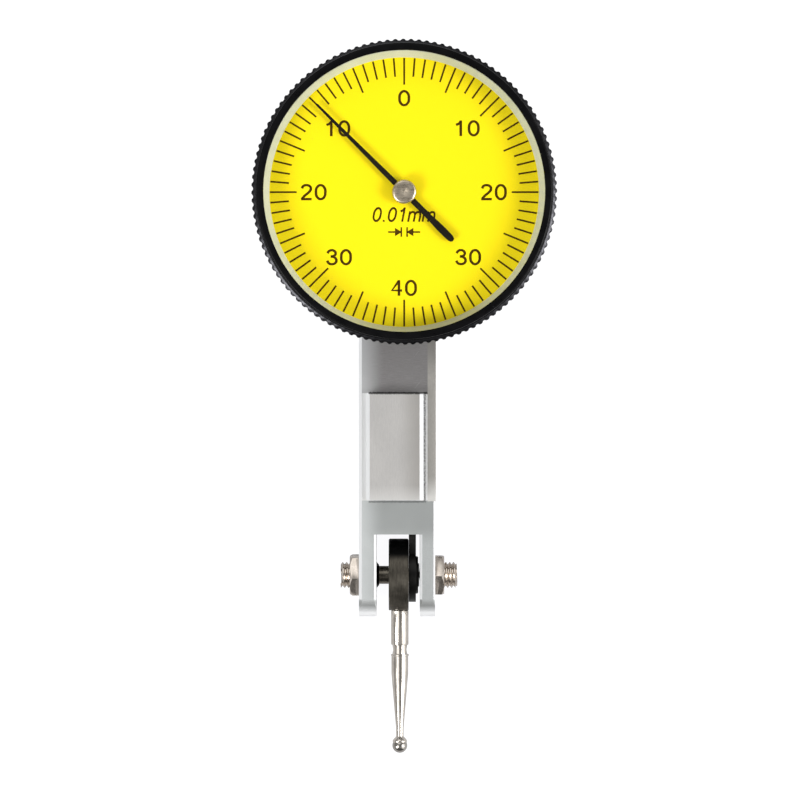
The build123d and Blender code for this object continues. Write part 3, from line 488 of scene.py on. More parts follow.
def makeBodyFinish(name, look):
    # satin steel: cross grain on the flat by the drum, painted dark as the bezel's shade and reflection,
    # grain along the rail, a bluish tone on the clevis
    tree, shader, inMm = startMaterial(name)
    across, along, matt = (
        useGroup(tree, "grain", inMm, Stretch=stretch, Scale=look["grainScale"], Contrast=contrast)
        for stretch, contrast in look["grains"])
    place = splitVector(tree, inMm)
    speckle = matt["Streaks"]
    onRail = above(tree, place["Z"], look["railHeight"])
    byRail = below(tree, place["Y"], look["railStart"])
    onClevis = below(tree, place["Y"], look["clevisStart"])
    # painted highlight: the flat and the clevis are painted lighter towards the left, as reflected light
    leftHighlight = ramp(tree, place["X"], *look["leftHighlightFade"])
    # painted shade: the flat's dark tones stand in for the bezel's shade and reflection
    flat = mixColour(tree, across["Streaks"], *look["flat"])
    flat = mixColour(tree, leftHighlight, flat, look["flatLeftHighlight"])
    side = mixColour(tree, speckle, *look["side"])
    # painted highlight: the strip left of the rail is painted nearly white
    strip = mixColour(tree, below(tree, place["X"], look["stripEnd"]), side, look["leftStripHighlight"])
    rail = mixColour(tree, along["Streaks"], *look["rail"])
    # painted shade: the rail is painted darker towards the right
    rail = mixColour(tree, ramp(tree, place["X"], *look["rightShadeFade"]), rail, look["railRightShade"])
    clevis = paintOver(tree, mixColour(tree, speckle, *look["clevis"]),
                       (ramp(tree, place["Y"], *look["topFade"]), look["clevisTop"]),
                       (product(tree, leftHighlight, look["clevisHighlightShare"]), look["clevisLeftHighlight"]))
    upper = paintOver(tree, flat, (byRail, strip), (onClevis, clevis), (onRail, rail))
    # only the faces towards the dial's side differ, the walls are alike all along
    onTop = above(tree, splitNormal(tree)["Z"], look["topTilt"])
    onUpper = product(tree, onTop, inverse(tree, onClevis))
    stains = useGroup(tree, "patches", inMm, Scale=0.22, Low=0.0, High=0.10)
    marks = useGroup(tree, "scratches", inMm, Scale=0.6, Amount=0.1)
    # the last of the rail and of the strips beside it is lighter
    lighterEnd = product(tree, ramp(tree, place["Y"], *look["lighterEndFade"], "LINEAR"), onUpper)
    # painted shade: the ears are painted darker where their ends start to round off, and the rounded ends
    # are painted lighter as a highlight
    tip = ramp(tree, distanceFrom(tree, place["Y"], look["tipY"]), *look["tipFade"])
    onTip = below(tree, place["Y"], look["tipFrom"])
    # painted highlight on the rounded ear ends
    endHighlight = product(tree, onTip, ramp(tree, place["Y"], *look["endHighlightFade"], "LINEAR"))
    # painted highlight: bevels below the rail's top are painted light and less metallic, standing in for the
    # white they reflect
    bevelHighlight = product(tree, edgeHighlightAmount(tree), below(tree, place["Z"], look["edgeTop"]), inverse(tree, onTip))
    edge = larger(tree, bevelHighlight, endHighlight)
    # painted shadow: dark lines where the rail steps down at its upper and lower ends, and in the cover's
    # seam
    wander = mathNode(tree, "MULTIPLY_ADD", speckle, look["wander"], place["Y"])
    # painted shadow along the step at the rail's lower end
    shoulder = product(tree, near(tree, wander, look["lowerShadowY"], look["lowerShadowHalf"]),
                       look["lowerShadowShare"], below(tree, place["X"], look["shadowEndX"]))
    railEndShadow = larger(tree, near(tree, wander, look["upperShadowY"], look["upperShadowHalf"]), shoulder)
    railEndShadow = product(tree, railEndShadow, above(tree, place["X"], look["shadowStartX"]))
    offSeam = mathNode(tree, "SUBTRACT", look["seamX"], place["X"])
    # painted highlight: a light stripe along the seam, where the casting's edge would reflect white
    polished = product(tree, below(tree, offSeam, look["seamHighlightWidth"]), byRail, onUpper,
                       below(tree, speckle, 0.62))
    # painted shadow in the cover's seam
    seamShadow = product(tree, near(tree, offSeam, look["seamShadowOff"], look["seamShadowHalf"]),
                    above(tree, speckle, 0.46), byRail, above(tree, place["Y"], look["clevisStart"]))
    # the painted shadow lines, darkened into the colour
    lines = product(tree, larger(tree, railEndShadow, seamShadow), onTop, look["shadowLineShare"])
    colour = paintOver(tree, side, (onTop, upper), (stains["Value"], look["stain"]),
                       (product(tree, marks["Mask"], 0.35), look["scratch"]), (lighterEnd, look["lighterEnd"]),
                       (product(tree, tip, onTop), look["tip"]),
                       (edge, mixColour(tree, speckle, *look["edge"])), (polished, look["polished"]),
                       (lines, look["line"]))
    setInputs(tree, shader, {
        "Base Color": colour, "Metallic": mixValue(tree, edge, 1.0, look["highlightMetallic"]),
        "Roughness": mixValue(tree, speckle, *look["gloss"]),
        "Normal": bumpFrom(tree, matt["Height"], *look["bump"])})


def makeCoverFinish(name, look):
    # the cover is painted darker by the drum as the bezel's shade, and is lighter by the clevis
    tree, shader, inMm = startMaterial(name)
    along = useGroup(tree, "grain", inMm, Stretch=(5, 1.0, 5), Scale=2.0, Contrast=0.7)
    marks = useGroup(tree, "scratches", inMm, Scale=0.6, Amount=0.15)
    place = splitVector(tree, inMm)
    # painted highlight: the cover's bevels are painted light and less metallic
    edge = edgeHighlightAmount(tree)
    colour = paintOver(tree, mixColour(tree, along["Streaks"], *look["tones"]),
                       # painted shade: darker by the drum
                       (ramp(tree, place["Y"], *look["drumShadeFade"]), look["drumShade"]),
                       (ramp(tree, place["Y"], *look["lighterEndFade"]), look["lighterEnd"]),
                       (product(tree, marks["Mask"], 0.5), look["scratch"]), (edge, look["edge"]))
    setInputs(tree, shader, {
        "Base Color": colour, "Metallic": mixValue(tree, edge, 1.0, look["highlightMetallic"]),
        "Roughness": mixValue(tree, along["Streaks"], *look["gloss"]),
        "Normal": bumpFrom(tree, along["Height"], *look["bump"])})


def makeSwivelFinish(name, look):
    # turned steel in a warm grey, painted black as shade on the side that faces the body
    tree, shader, inMm = startMaterial(name)
    turned = useGroup(tree, "grain", inMm, Stretch=(9, 0.8, 0.8), Scale=1.0, Contrast=1.1)
    patches = useGroup(tree, "patches", inMm, Scale=0.5, Low=0.0, High=0.6)
    tone = mathNode(tree, "MULTIPLY_ADD", turned["Streaks"], 0.6, patches["Value"], clamp=True)
    # painted shade: black on the side that faces the body
    bodySideShade = ramp(tree, splitVector(tree, inMm)["Y"], *look["bodySideShadeFade"])
    setInputs(tree, shader, {
        "Base Color": mixColour(tree, bodySideShade, mixColour(tree, tone, *look["tones"]), look["bodySideShade"]),
        "Metallic": 0.9, "Roughness": mixValue(tree, tone, *look["gloss"]),
        "Normal": bumpFrom(tree, turned["Height"], *look["bump"])})


def makeDialFinish(name, look):
    # yellow print, painted a little deeper towards its rim as the bezel's shade, with a fine paper tooth
    tree, shader, inMm = startMaterial(name)
    place = splitVector(tree, inMm)
    flat = addNode(tree, "CombineXYZ", {"X": place["X"], "Y": place["Y"]}).outputs[0]
    # painted shade: deeper amber towards the rim
    rim = ramp(tree, vectorNode(tree, "LENGTH", flat, output="Value"), *look["rimShadeFade"], kind="LINEAR")
    patches = useGroup(tree, "patches", inMm, Scale=0.12, Low=0.0, High=0.12)
    spots = useGroup(tree, "specks", inMm, Scale=0.6, Size=0.03)
    grain = useGroup(tree, "grain", inMm, Stretch=(5, 5, 5), Scale=2.0, Contrast=0.8)
    amount = mathNode(tree, "ADD", rim, patches["Value"], clamp=True)
    colour = paintOver(tree, mixColour(tree, amount, *look["tones"]), (spots["Mask"], look["speck"]))
    setInputs(tree, shader, {
        "Base Color": colour, "Roughness": mixValue(tree, grain["Streaks"], *look["gloss"]),
        "Specular IOR Level": 0.12, "Normal": bumpFrom(tree, grain["Height"], *look["bump"])})


def makeCrystalFinish(name):
    # clear window: nearly all light goes straight through, faint smears only in its gloss
    tree, shader, inMm = startMaterial(name)
    smears = useGroup(tree, "patches", inMm, Scale=0.15, Low=0.02, High=0.05)
    specks = useGroup(tree, "specks", inMm, Scale=0.7, Size=0.04)
    setInputs(tree, shader, {
        "Base Color": (0.02, 0.02, 0.02, 1.0), "IOR": 1.49, "Roughness": smears["Value"],
        "Alpha": mixValue(tree, specks["Mask"], 0.04, 0.12)})


makeBodyFinish("satinBody", bodyLook)
makeCoverFinish("satinCover", {
    "tones": ((0.44, 0.425, 0.395), (0.58, 0.56, 0.525)), "drumShade": (0.27, 0.26, 0.245),
    "edge": (0.93, 0.93, 0.92), "highlightMetallic": 0.5, "lighterEnd": (0.97, 0.96, 0.93),
    "scratch": (0.85, 0.84, 0.82), "drumShadeFade": (-25.5, -19.5, 0.0, 0.75),
    "lighterEndFade": (-37.0, -40.3, 0.0, 0.75), "gloss": (0.36, 0.48), "bump": (0.10, 0.006)})
makeSwivelFinish("swivelSteel", {
    "tones": ((0.04, 0.036, 0.029), (0.115, 0.104, 0.086)), "bodySideShade": (0.004, 0.004, 0.004),
    "bodySideShadeFade": (-48.7, -47.6), "gloss": (0.30, 0.46), "bump": (0.15, 0.006)})
makeDialFinish("yellowDial", {
    "tones": ((1.0, 0.81, 0.003), (0.93, 0.74, 0.003)), "speck": (0.75, 0.55, 0.02),
    "rimShadeFade": (13.5, 18.0), "gloss": (0.45, 0.60), "bump": (0.04, 0.003)})
makeCrystalFinish("clearCrystal")

nodeFinishes = {
    "satinBody": ["main_body"],
    "satinCover": ["side_cover", "movement_plate", "center_bridge"],
    "screwNickel": ["side_cover_screws", "movement_plate_screws", "center_bridge_screws"],
    "blackOxide": ["lever_arm", "clutch_washer", "clutch_nut", "left_pivot_washer", "sector_rivets"],
    "darkShaft": ["pivot_shaft"],
    "springBlue": ["hairspring", "bezel_spring"],
    "brassBright": ["crown_gear", "sector_gear", "hairspring_collet", "hairspring_stud"],
    "rubyRed": ["upper_center_jewel", "lower_center_jewel", "left_crown_jewel", "right_crown_jewel"],
    "darkTurned": ["crown_arbor", "center_pinion"],
    "sealRubber": ["crystal_seal"],
    "paleRing": ["dial_ring"],
    "yellowDial": ["dial_face"],
    "clearCrystal": ["crystal"],
    "swivelSteel": ["swivel_disc"],
}
for finishName, members in nodeFinishes.items():
    for member in members:
        wear(nodes[member], finishName)
print("finishes made:", len(finishes))


# ---- bezel: one turned shell, then every second pair of points pulled in for the knurl

bezelShape = {
    "teeth": 120, "knurlDepth": 0.21, "boreRadius": 18.85, "bottom": 15.4, "knurlBottom": 15.7,
    "knurlTop": 19.70, "flangeTop": 20.0, "outerRadius": 20.0, "frontRadius": 19.35, "rimWidth": 0.58,
    "openingRadius": 18.37, "top": 22.0, "lipBottom": 21.45, "edgeRound": 0.26, "bottomChamfer": 0.35,
    "smallChamfer": 0.08,
}


def makeBezel(shape):
    outer = shape["outerRadius"]
    depth = shape["knurlDepth"]
    bore = shape["boreRadius"]
    front = shape["frontRadius"]
    flange = shape["flangeTop"]
    opening = shape["openingRadius"]
    top = shape["top"]
    chamfer = shape["smallChamfer"]
    rimSlope = (flange - shape["knurlTop"]) / shape["rimWidth"]
    profile = [
        (bore, shape["bottom"]), (outer - shape["bottomChamfer"], shape["bottom"]),
        (outer, shape["knurlBottom"]), (outer, shape["knurlTop"]),
        (outer - depth, shape["knurlTop"] + rimSlope * depth), (outer - shape["rimWidth"], flange),
        (front + 0.05, flange), (front, flange + 0.06), *roundEdge(front, top, shape["edgeRound"]),
        (opening + chamfer, top), (opening, top - chamfer), (opening, shape["lipBottom"]),
        (bore, shape["lipBottom"])]
    points = 4 * shape["teeth"]
    bezel = turnRings("bezel", profile, points, ends="loop")

    def inValley(co):
        onCrest = math.hypot(co.x, co.y) > mm(outer - depth / 2)
        return onCrest and round(math.atan2(co.y, co.x) / math.tau * points) % 4 in (2, 3)
    pickVertices(bezel, inValley)
    resizePicked((outer - depth) / outer, (outer - depth) / outer)
    smoothByAngle(bezel, 35)
    finishPiece(bezel, "bezel_shell", "bezel", "blackEnamel", "black_bezel", "bezel_ring")


makeBezel(bezelShape)
print("bezel done")


# ---- dial print: division lines, numbers, the unit and two small arrows, as thin raised ink

printShape = {
    "height": 18.245, "thickness": 0.02, "divisions": 80, "longEvery": 5, "lineWidth": 0.23,
    "outerEnd": 17.60, "longInner": 14.1, "shortInner": 15.17, "digitHeight": 2.15, "digitStretch": 1.09,
    "unitHeight": 1.97, "unitStretch": 0.86, "unitSlant": 0.22, "strokeWidth": 0.155,
    "numbers": [("0", 0.0, 12.32), ("10", -8.66, 8.35), ("10", 8.31, 8.37), ("20", -11.86, 0.0),
                ("20", 11.76, 0.0), ("30", -8.55, -8.53), ("30", 8.38, -8.52), ("40", -0.04, -12.56)],
    "unit": ("0.01mm", -0.02, -2.94), "arrowY": -5.23, "arrowReach": 2.1, "arrowLine": 0.9,
    "arrowWidth": 0.20, "headStart": 0.6, "headLength": 0.85, "headWiden": 5.4, "barX": 0.38,
    "barHalf": 0.62, "barWidth": 0.19,
}

# pen strokes of each sign, one unit high about its middle: closed or open, curved unless marked straight
signStrokes = {
    "0": [("closed", [(0, 0.447), (0.195, 0.33), (0.276, 0), (0.195, -0.33), (0, -0.447),
                      (-0.195, -0.33), (-0.276, 0), (-0.195, 0.33)])],
    "1": [("straight", [(0.07, -0.5), (0.07, 0.5)]), ("open", [(0.06, 0.42), (-0.05, 0.29), (-0.21, 0.22)])],
    "2": [("open", [(-0.265, 0.235), (-0.19, 0.385), (0, 0.447), (0.2, 0.37), (0.255, 0.215),
                    (0.16, 0.02), (-0.1, -0.22), (-0.275, -0.447)]),
          ("straight", [(-0.32, -0.447), (0.30, -0.447)])],
    "3": [("open", [(-0.25, 0.25), (-0.17, 0.385), (0, 0.447), (0.17, 0.375), (0.225, 0.235),
                    (0.13, 0.085), (-0.06, 0.045)]),
          ("open", [(-0.06, 0.045), (0.17, -0.02), (0.27, -0.2), (0.2, -0.375), (0, -0.447),
                    (-0.18, -0.385), (-0.275, -0.225)])],
    "4": [("straight", [(0.125, 0.46), (-0.285, -0.16), (0.31, -0.16)]),
          ("straight", [(0.125, 0.5), (0.125, -0.5)])],
    "m": [("straight", [(-0.44, -0.5), (-0.44, 0.225)]),
          ("open", [(-0.44, 0.0), (-0.37, 0.12), (-0.23, 0.175), (-0.06, 0.12), (0, -0.04), (0, -0.5)]),
          ("open", [(0, 0.0), (0.07, 0.12), (0.21, 0.175), (0.38, 0.12), (0.44, -0.04), (0.44, -0.5)])],
    ".": [("straight", [(0, -0.5), (0, -0.38)])],
}
digitWidth = 0.83
signWidths = {"m": 1.16, ".": 0.40}


def makeLine(inner, outer, width, shape):
    line = startPlane("line")
    resizePicked(mm(width), mm(outer - inner))
    movePicked(0, (inner + outer) / 2, shape["height"])
    bpy.ops.mesh.extrude_region_move(**shift(0, 0, shape["thickness"]))
    bpy.ops.mesh.select_all(action="SELECT")
    bpy.ops.mesh.normals_make_consistent(inside=False)
    leaveEdit()
    return line


def makeDivisionLines(shape):
    lines = []
    for k in range(shape["divisions"]):
        inner = shape["shortInner"] if k % shape["longEvery"] else shape["longInner"]
        line = makeLine(inner, shape["outerEnd"], shape["lineWidth"], shape)
        placePiece(line, turn=(0, 0, 360 * k / shape["divisions"]))
        lines.append(line)
    return lines


def drawCurve(points, handle, closed, **look):
    # a bezier curve through the points, made a mesh
    deselectAll()
    bpy.ops.curve.primitive_bezier_curve_add(location=(0, 0, 0))
    curve = bpy.context.object.data
    for key, value in look.items():
        setattr(curve, key, value)
    spline = curve.splines[0]
    spline.bezier_points.add(len(points) - 2)
    spline.use_cyclic_u = closed
    for point, (x, y) in zip(spline.bezier_points, points):
        point.co = (x, y, 0)
        point.handle_left_type = handle
        point.handle_right_type = handle
    bpy.ops.object.convert(target="MESH")
    return bpy.context.object


def writeOnDial(words, x, y, height, shape, slant=0.0, stretch=1.0):
    # strokes of a round pen, then flattened and sized to lie on the dial
    strokes = []
    reach = 0.0
    for sign in words:
        width = signWidths.get(sign, digitWidth)
        for kind, points in signStrokes[sign]:
            placed = [(reach + width / 2 + px + slant * py, py) for px, py in points]
            strokes.append(drawCurve(
                placed, "VECTOR" if kind == "straight" else "AUTO", kind == "closed", resolution_u=6,
                bevel_depth=shape["strokeWidth"] / 2, bevel_resolution=1, use_fill_caps=True))
        reach += width
    written = joinPieces(strokes, "written")
    axes = list(zip(*(v.co for v in written.data.vertices)))
    low = [min(axis) for axis in axes]
    high = [max(axis) for axis in axes]
    factor = mm(height) / (high[1] - low[1])
    pickPiece(written)
    editAll()
    bpy.ops.transform.translate(value=(-(low[0] + high[0]) / 2, -(low[1] + high[1]) / 2, -low[2]))
    resizePicked(factor * stretch, factor, mm(shape["thickness"]) / (high[2] - low[2]))
    movePicked(x, y, shape["height"])
    leaveEdit()
    return written


def makeArrow(turn, shape):
    # a short bar and a triangular head that points at the middle
    arrow = startPlane("arrow")
    reach = shape["arrowReach"]
    resizePicked(mm(shape["arrowLine"]), mm(shape["arrowWidth"]))
    movePicked(reach - shape["arrowLine"] / 2, 0, 0)
    pickVertices(arrow, lambda co: co.x < mm(reach - shape["headStart"]))
    bpy.ops.mesh.extrude_edges_move(**shift(0, 0, 0))
    resizePicked(1, shape["headWiden"])
    bpy.ops.mesh.extrude_edges_move(**shift(-shape["headLength"], 0, 0))
    resizePicked(1, 0.05)
    bpy.ops.mesh.select_all(action="SELECT")
    bpy.ops.mesh.extrude_region_move(**shift(0, 0, shape["thickness"]))
    placePiece(arrow, turn=(0, 0, turn), move=(0, shape["arrowY"], shape["height"]))
    closeAndTidy(arrow)
    return arrow


def makeBar(x, shape):
    bar = makeLine(-shape["barHalf"], shape["barHalf"], shape["barWidth"], shape)
    placePiece(bar, move=(x, shape["arrowY"], 0))
    return bar


def printPiece(name, pieces):
    finishPiece(joinPieces(pieces, name), name, "bezel", "dialInk", "black_hand")


def makeDialPrint(shape):
    printPiece("division_lines", makeDivisionLines(shape))
    printPiece("dial_numbers", [
        writeOnDial(*number, shape["digitHeight"], shape, stretch=shape["digitStretch"])
        for number in shape["numbers"]])
    printPiece("dial_unit", [writeOnDial(*shape["unit"], shape["unitHeight"], shape, shape["unitSlant"],
                                         shape["unitStretch"])])
    printPiece("dial_arrows", [makeBar(-shape["barX"], shape), makeBar(shape["barX"], shape),
                               makeArrow(0, shape), makeArrow(180, shape)])


makeDialPrint(printShape)
print("dial print done")


# ---- hand and its hub

handShape = {
    "turn": 135, "tipEnd": 16.43, "tipHalf": 0.15, "rootHalf": 0.40, "neckHalf": 0.385, "neckEnd": -4.7,
    "tailStart": -6.5, "tailHalf": 0.475, "tailEnd": -9.05, "bossRadius": 1.28, "hubRadius": 1.61,
    "hubEdge": 0.32, "punchRadius": 0.26, "punchDepth": 0.10,
}


def makeHand(shape):
    # a straight blade that narrows to its tip, and a tail that widens a little to a rounded end
    low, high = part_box("pointer_hand")
    half = shape["tailHalf"]
    tail = shape["tailEnd"]
    upper = [
        (shape["tipEnd"], 0.3 * shape["tipHalf"]), (shape["tipEnd"] - 0.3, shape["tipHalf"]),
        (0.0, shape["rootHalf"]), (shape["neckEnd"] + 2.0, shape["neckHalf"]),
        (shape["neckEnd"], shape["neckHalf"]), (shape["tailStart"], half), (tail + 1.2, half),
        (tail + 0.45, 0.92 * half), (tail + 0.13, 0.66 * half), (tail, 0.25 * half)]
    outline = [mm(x, y) for x, y in upper] + [mm(x, -y) for x, y in reversed(upper)]
    hand = drawCurve(outline, "VECTOR", True, dimensions="2D", fill_mode="BOTH", resolution_u=1,
                     extrude=(high.z - low.z) / 2)
    placePiece(hand, turn=(0, 0, shape["turn"]), move=(0, 0, 500 * (low.z + high.z)))
    closeAndTidy(hand)
    finishPiece(hand, "hand_blade", "pointer", "blackHand", "black_hand", "pointer_hand")


def makeHub(shape):
    # a boss that clamps the blade, and a disc with a rounded upper edge and a punch mark
    bossLow = 1000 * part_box("pointer_hand")[0].z
    low, high = (1000 * corner.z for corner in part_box("pointer_hub"))
    radius = shape["hubRadius"]
    hub = turnRings("hub", [
        (shape["bossRadius"], bossLow), (shape["bossRadius"], low), (radius - 0.06, low),
        (radius, low + 0.06), *roundEdge(radius, high, shape["hubEdge"]), (shape["punchRadius"], high),
        (0.03, high - shape["punchDepth"])], 64)
    smoothByAngle(hub, 35)
    finishPiece(hub, "hand_hub", "pointer", "brushedHub", "nickel", "pointer_hub")


makeHand(handShape)
makeHub(handShape)
print("hand done")


# ---- pivot screws and their nuts

pivotShape = {
    "y": -50.6, "z": 7.2, "leftFace": -6.0, "rightFace": 4.1, "leftEar": 2.32, "rightEar": 2.0,
    "leftReach": 1.15, "rightReach": 1.8, "screwRadius": 1.73, "pitch": 0.52, "threadDepth": 0.27,
    "nutWidth": 5.1, "nutThickness": 1.25, "slotWidth": 0.5, "slotDepth": 0.7, "endTaper": 0.3,
    "coneRadius": 0.5, "coneLength": 0.86, "slotTurn": 90, "leftTurn": 8, "rightTurn": 1,
    "mouthWiden": 0.32, "mouthDepth": 0.22, "rimLow": 0.12, "rimHigh": 0.40,
}


def layAlong(piece, direction, x, shape):
    # its long axis goes from upright to left or right, on the cross pivot
    placePiece(piece, turn=(0, 90 * direction, 0), move=(x, shape["y"], shape["z"]))


def makeStud(outerX, innerX, direction, shape):
    # one crest of the thread run along a helix, cut square, chamfered, slotted, with a cone at its inner end
    length = abs(outerX - innerX)
    pitch = shape["pitch"]
    crest = shape["screwRadius"]
    root = crest - shape["threadDepth"]
    stud = startPlane("stud")
    bpy.ops.mesh.merge(type="CENTER")
    movePicked(root, 0, -pitch)
    for out, up in ((crest - root, 0.34), (0, 0.16), (root - crest, 0.34), (0, 0.16)):
        bpy.ops.mesh.extrude_vertices_move(**shift(out, 0, up * pitch))
    leaveEdit()
    applyModifier(stud, "SCREW", angle=math.tau, screw_offset=mm(pitch), steps=36, render_steps=36,
                  iterations=math.ceil(length / pitch) + 2, use_merge_vertices=True, merge_threshold=1e-6)
    for height, inner in ((0.0, True), (length, False)):
        pickPiece(stud)
        editAll()
        bpy.ops.mesh.bisect(plane_co=mm(0, 0, height), plane_no=(0, 0, 1), use_fill=True,
                            clear_inner=inner, clear_outer=not inner)
        leaveEdit()
    closeAndTidy(stud)
    wide = crest + shape["endTaper"]
    cutAway(stud, turnRings("limit", [(root - 0.1, -0.1), (wide, 0.3), (wide, length - 0.55),
                                      (root - 0.1, length + 0.02)], 48), "INTERSECT")
    deselectAll()
    bpy.ops.mesh.primitive_cube_add(size=1, location=(0, 0, mm(length)),
                                    scale=mm(4 * crest, shape["slotWidth"], 2 * shape["slotDepth"]))
    slot = bpy.context.object
    applyPlace()
    placePiece(slot, turn=(0, 0, shape["slotTurn"]))
    cutAway(stud, slot)
    cone = turnRings("cone", [(shape["coneRadius"], 0.1), (shape["coneRadius"], 0.0),
                              (0.03, -shape["coneLength"])], 32)
    joinPieces([stud, cone], "stud")
    layAlong(stud, direction, innerX, shape)
    smoothByAngle(stud, 28)
    return stud


def makeNut(faceX, direction, turn, shape):
    # hexagon with one corner up, both rims turned off and a clear threaded mouth
    flatRadius = shape["nutWidth"] / 2
    corner = shape["nutWidth"] / math.sqrt(3)
    thickness = shape["nutThickness"]
    deselectAll()
    bpy.ops.mesh.primitive_cylinder_add(vertices=6, radius=mm(corner), depth=mm(thickness),
                                        location=(0, 0, mm(thickness / 2)))
    nut = bpy.context.object
    applyPlace()
    cutAway(nut, turnRings("turned", [
        (corner - shape["rimLow"], 0.0), (corner + 0.05, shape["rimLow"]),
        (corner + 0.05, thickness - shape["rimHigh"]), (flatRadius - 0.05, thickness)], 72), "INTERSECT")
    mouth = shape["mouthDepth"]
    wide = shape["screwRadius"] + shape["mouthWiden"]
    bore = shape["screwRadius"] + 0.02
    cutAway(nut, turnRings("mouth", [(wide, -0.1), (bore, mouth), (bore, thickness - mouth),
                                     (wide, thickness + 0.1)], 48))
    placePiece(nut, turn=(0, 0, 30 + direction * turn))
    layAlong(nut, direction, faceX, shape)
    applyModifier(nut, "BEVEL", width=mm(0.05), segments=2, limit_method="ANGLE",
                  angle_limit=math.radians(25))
    smoothByAngle(nut, 30)
    return nut


def makePivotScrews(shape):
    sides = (("left", -1), ("right", 1))
    for side, direction in sides:
        face = shape[side + "Face"]
        outer = face + direction * (shape["nutThickness"] + shape[side + "Reach"])
        stud = makeStud(outer, face - direction * shape[side + "Ear"], direction, shape)
        finishPiece(stud, side + "_stud", "frame", "screwNickel", "nickel", side + "_pivot_screw")
    for side, direction in sides:
        nut = makeNut(shape[side + "Face"], direction, shape[side + "Turn"], shape)
        finishPiece(nut, side + "_nut", "frame", "screwNickel", "nickel", side + "_pivot_nut")


makePivotScrews(pivotShape)
print("pivot screws and nuts done")


# ---- contact point

contactShape = {
    "y": -50.6, "z": 7.2, "shankStart": 4.70, "shankEnd": 9.36, "shankRadius": 1.165,
    "neckLength": 1.2, "neckRadius": 0.975, "collarLength": 0.27, "collarRadius": 1.21,
    "barrelLength": 2.3, "barrelRadius": 1.125, "taperLength": 7.2, "taperRadius": 0.52,
    "endRadius": 0.5, "ballReach": 22.75, "ballRadius": 1.0, "holeRadius": 0.375,
    "seatStart": 1.2, "seatShoulder": 0.78, "seatLip": 0.42, "seatRadius": 0.97, "studRadius": 0.6,
}


def makeContactStem(x, shape):
    start = shape["shankStart"]
    neckStart = shape["shankEnd"]
    neckEnd = neckStart + shape["neckLength"]
    collarEnd = neckEnd + shape["collarLength"]
    barrelEnd = collarEnd + shape["barrelLength"]
    shoulder = shape["ballReach"] - shape["seatShoulder"]
    lip = shape["ballReach"] - shape["seatLip"]
    radius = shape["shankRadius"]
    collar = shape["collarRadius"]
    seat = shape["seatRadius"]
    stem = turnRings("stem", [
        (shape["studRadius"], start - 1.2), (shape["studRadius"] + 0.02, start), (radius - 0.08, start),
        (radius, start + 0.08), (radius, neckStart - 0.14), (radius - 0.05, neckStart - 0.05),
        (shape["neckRadius"], neckStart), (shape["neckRadius"], neckEnd - 0.03), (collar - 0.06, neckEnd),
        (collar, neckEnd + 0.06), (collar, collarEnd - 0.08), (shape["barrelRadius"], collarEnd),
        (shape["barrelRadius"], barrelEnd), (shape["taperRadius"], barrelEnd + shape["taperLength"]),
        (shape["endRadius"], shape["ballReach"] - shape["seatStart"]), (seat - 0.18, shoulder - 0.12),
        (seat - 0.03, shoulder + 0.08), (seat, lip - 0.12), (seat - 0.05, lip),
        (shape["studRadius"], lip)], 64)
    hole = turnRings("hole", [(shape["holeRadius"], -2.0), (shape["holeRadius"], 2.0)], 32)
    placePiece(hole, turn=(0, 90, 0), move=(0, 0, (neckStart + neckEnd) / 2))
    cutAway(stem, hole)
    placePiece(stem, turn=(90, 0, 0), move=(x, shape["y"], shape["z"]))
    smoothByAngle(stem, 35)
    finishPiece(stem, "contact_stem", "stylus", "polishedNickel", "nickel", "contact_point")


def makeContactBall(x, shape):
    # rings closer together towards the poles, closed by small caps
    radius = shape["ballRadius"]
    steps = [math.radians(a) for a in range(-87, 88, 6)]
    ball = turnRings("ball", [(radius * math.cos(a), radius * math.sin(a)) for a in steps], 48)
    placePiece(ball, turn=(90, 0, 0), move=(x, shape["y"] - shape["ballReach"], shape["z"]))
    smoothByAngle(ball, 60)
    finishPiece(ball, "contact_tip_ball", "stylus", "hardBall", "carbide", "contact_ball")


stemX = 500 * sum(corner.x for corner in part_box("contact_point"))
makeContactStem(stemX, contactShape)
makeContactBall(stemX, contactShape)
print("contact point done")


# ---- floor, light and camera

stageLook = {"floorSize": 6.0, "seenTone": 0.10, "otherTone": 0.40, "seenGlow": 0.96, "otherGlow": 0.10}


def makeFloor(look):
    deselectAll()
    bpy.ops.mesh.primitive_plane_add(size=look["floorSize"], location=(0, 0, 0))
    floor = bpy.context.object
    floor.name = "floor"
    tree, shader, inMm = startMaterial("palePaper")
    patches = useGroup(tree, "patches", inMm, Scale=0.01, Low=0.0, High=1.0)
    seen = addNode(tree, "LightPath").outputs["Is Camera Ray"]
    paper = mixColour(tree, patches["Value"], (0.99, 0.99, 0.99), (0.98, 0.98, 1.0))
    tone = mixValue(tree, seen, look["otherTone"], look["seenTone"])
    setInputs(tree, shader, {
        "Base Color": mixColour(tree, tone, (0.0, 0.0, 0.0), paper), "Emission Color": paper,
        "Emission Strength": mixValue(tree, seen, look["otherGlow"], look["seenGlow"]), "Roughness": 0.9})
    wear(floor, "palePaper")


worldLook = {
    "base": 0.40, "zenith": 0.24, "zenithAim": (0.13, 0.0, 0.99), "darkHalf": 15.0, "brightFrom": 24.0,
    "nearFade": (-0.50, -0.80, 1.0, 0.35), "farFade": (0.84, 0.97, 1.0, 0.25),
    "horizonFade": (0.0, 0.16, 0.40, 1.0), "tint": (1.0, 0.995, 0.985, 1.0),
    "panels": {"right": ((0.88, -0.18, 0.44), 30, 37, 1.35), "left": ((-0.46, -0.16, 0.87), 11, 19, 1.25),
               "far": ((-0.16, 0.67, 0.72), 14, 28, 0.95)},
    "softboxes": {"softboxLeft": (-0.66, -0.50, 3.7, 0.26), "softboxRight": (0.85, -0.20, 3.5, 0.26)},
    "softboxReach": 0.70, "softboxHeight": 0.50,
}


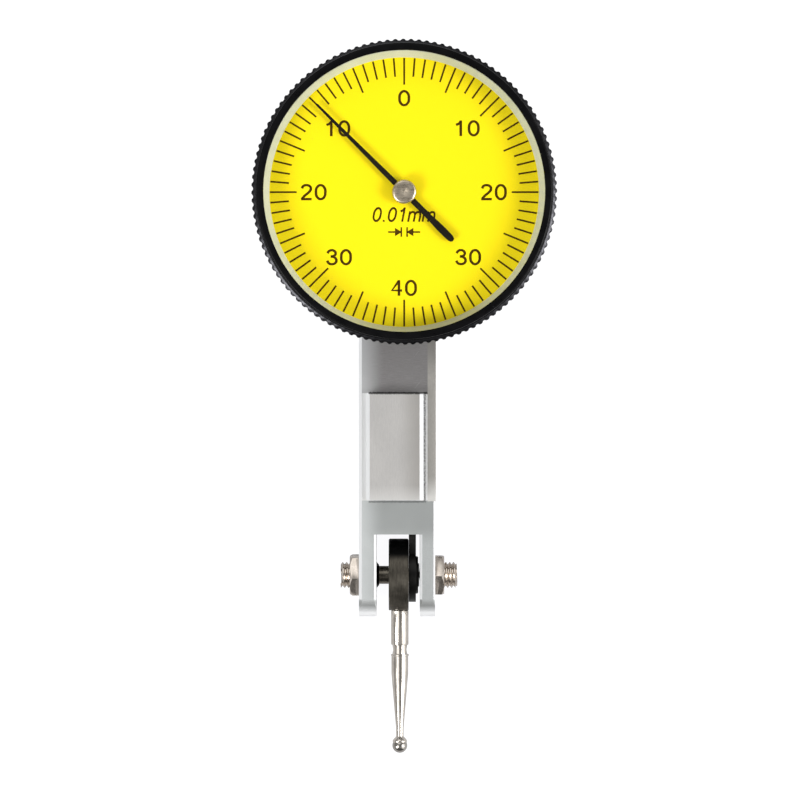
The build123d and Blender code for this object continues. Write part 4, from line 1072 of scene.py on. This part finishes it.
def makeWorld(look):
    # dim all round, darkest straight above and near the horizon, with soft panels at both sides and behind
    world = bpy.data.worlds.new("studio")
    bpy.context.scene.world = world
    world.use_nodes = True
    tree = world.node_tree
    direction = addNode(tree, "TexCoord").outputs["Generated"]
    split = splitVector(tree, direction)

    def coneAround(aim, inner, outer, low, high):
        towards = vectorNode(tree, "DOT_PRODUCT", direction, aim, "Value")
        limits = [math.cos(math.radians(half)) for half in (inner, outer)]
        return ramp(tree, towards, *limits, low, high)
    strength = coneAround(look["zenithAim"], look["darkHalf"], look["brightFrom"], look["zenith"],
                          look["base"])
    strength = product(tree, strength, ramp(tree, split["Y"], *look["nearFade"]),
                       ramp(tree, split["Y"], *look["farFade"]))
    for aim, inner, outer, power in look["panels"].values():
        length = math.hypot(*aim)
        panel = coneAround([a / length for a in aim], outer, inner, 0.0, power)
        strength = mathNode(tree, "ADD", strength, panel)
    strength = product(tree, strength, ramp(tree, split["Z"], *look["horizonFade"]))
    # the camera itself sees a plain white surround
    seen = addNode(tree, "LightPath").outputs["Is Camera Ray"]
    setInputs(tree, tree.nodes["Background"], {
        "Strength": mixValue(tree, seen, strength, 1.0), "Color": look["tint"]})


def addToScene(name, data):
    thing = bpy.data.objects.new(name, data)
    bpy.context.scene.collection.objects.link(thing)
    return thing


def makeSoftbox(name, aimX, aimY, power, size, look):
    light = bpy.data.lights.new(name, "AREA")
    light.energy = power
    light.size = size
    lamp = addToScene(name, light)
    lamp.location = (aimX * look["softboxReach"], aimY * look["softboxReach"], look["softboxHeight"])
    lamp.rotation_euler = lamp.location.to_track_quat("Z", "Y").to_euler()


cameraLook = {"place": (-0.55, -27.25, 620.0), "lens": 206.55, "sensor_width": 36.0, "clip_start": 0.01,
              "clip_end": 20.0}


def makeCamera(place, **values):
    camera = bpy.data.cameras.new("camera")
    for key, value in values.items():
        setattr(camera, key, value)
    stand = addToScene("camera", camera)
    stand.location = mm(*place)
    bpy.context.scene.camera = stand


makeFloor(stageLook)
makeWorld(worldLook)
for name, softbox in worldLook["softboxes"].items():
    makeSoftbox(name, *softbox, worldLook)
makeCamera(**cameraLook)
bpy.context.scene.view_settings.view_transform = "Standard"
print("stage done")
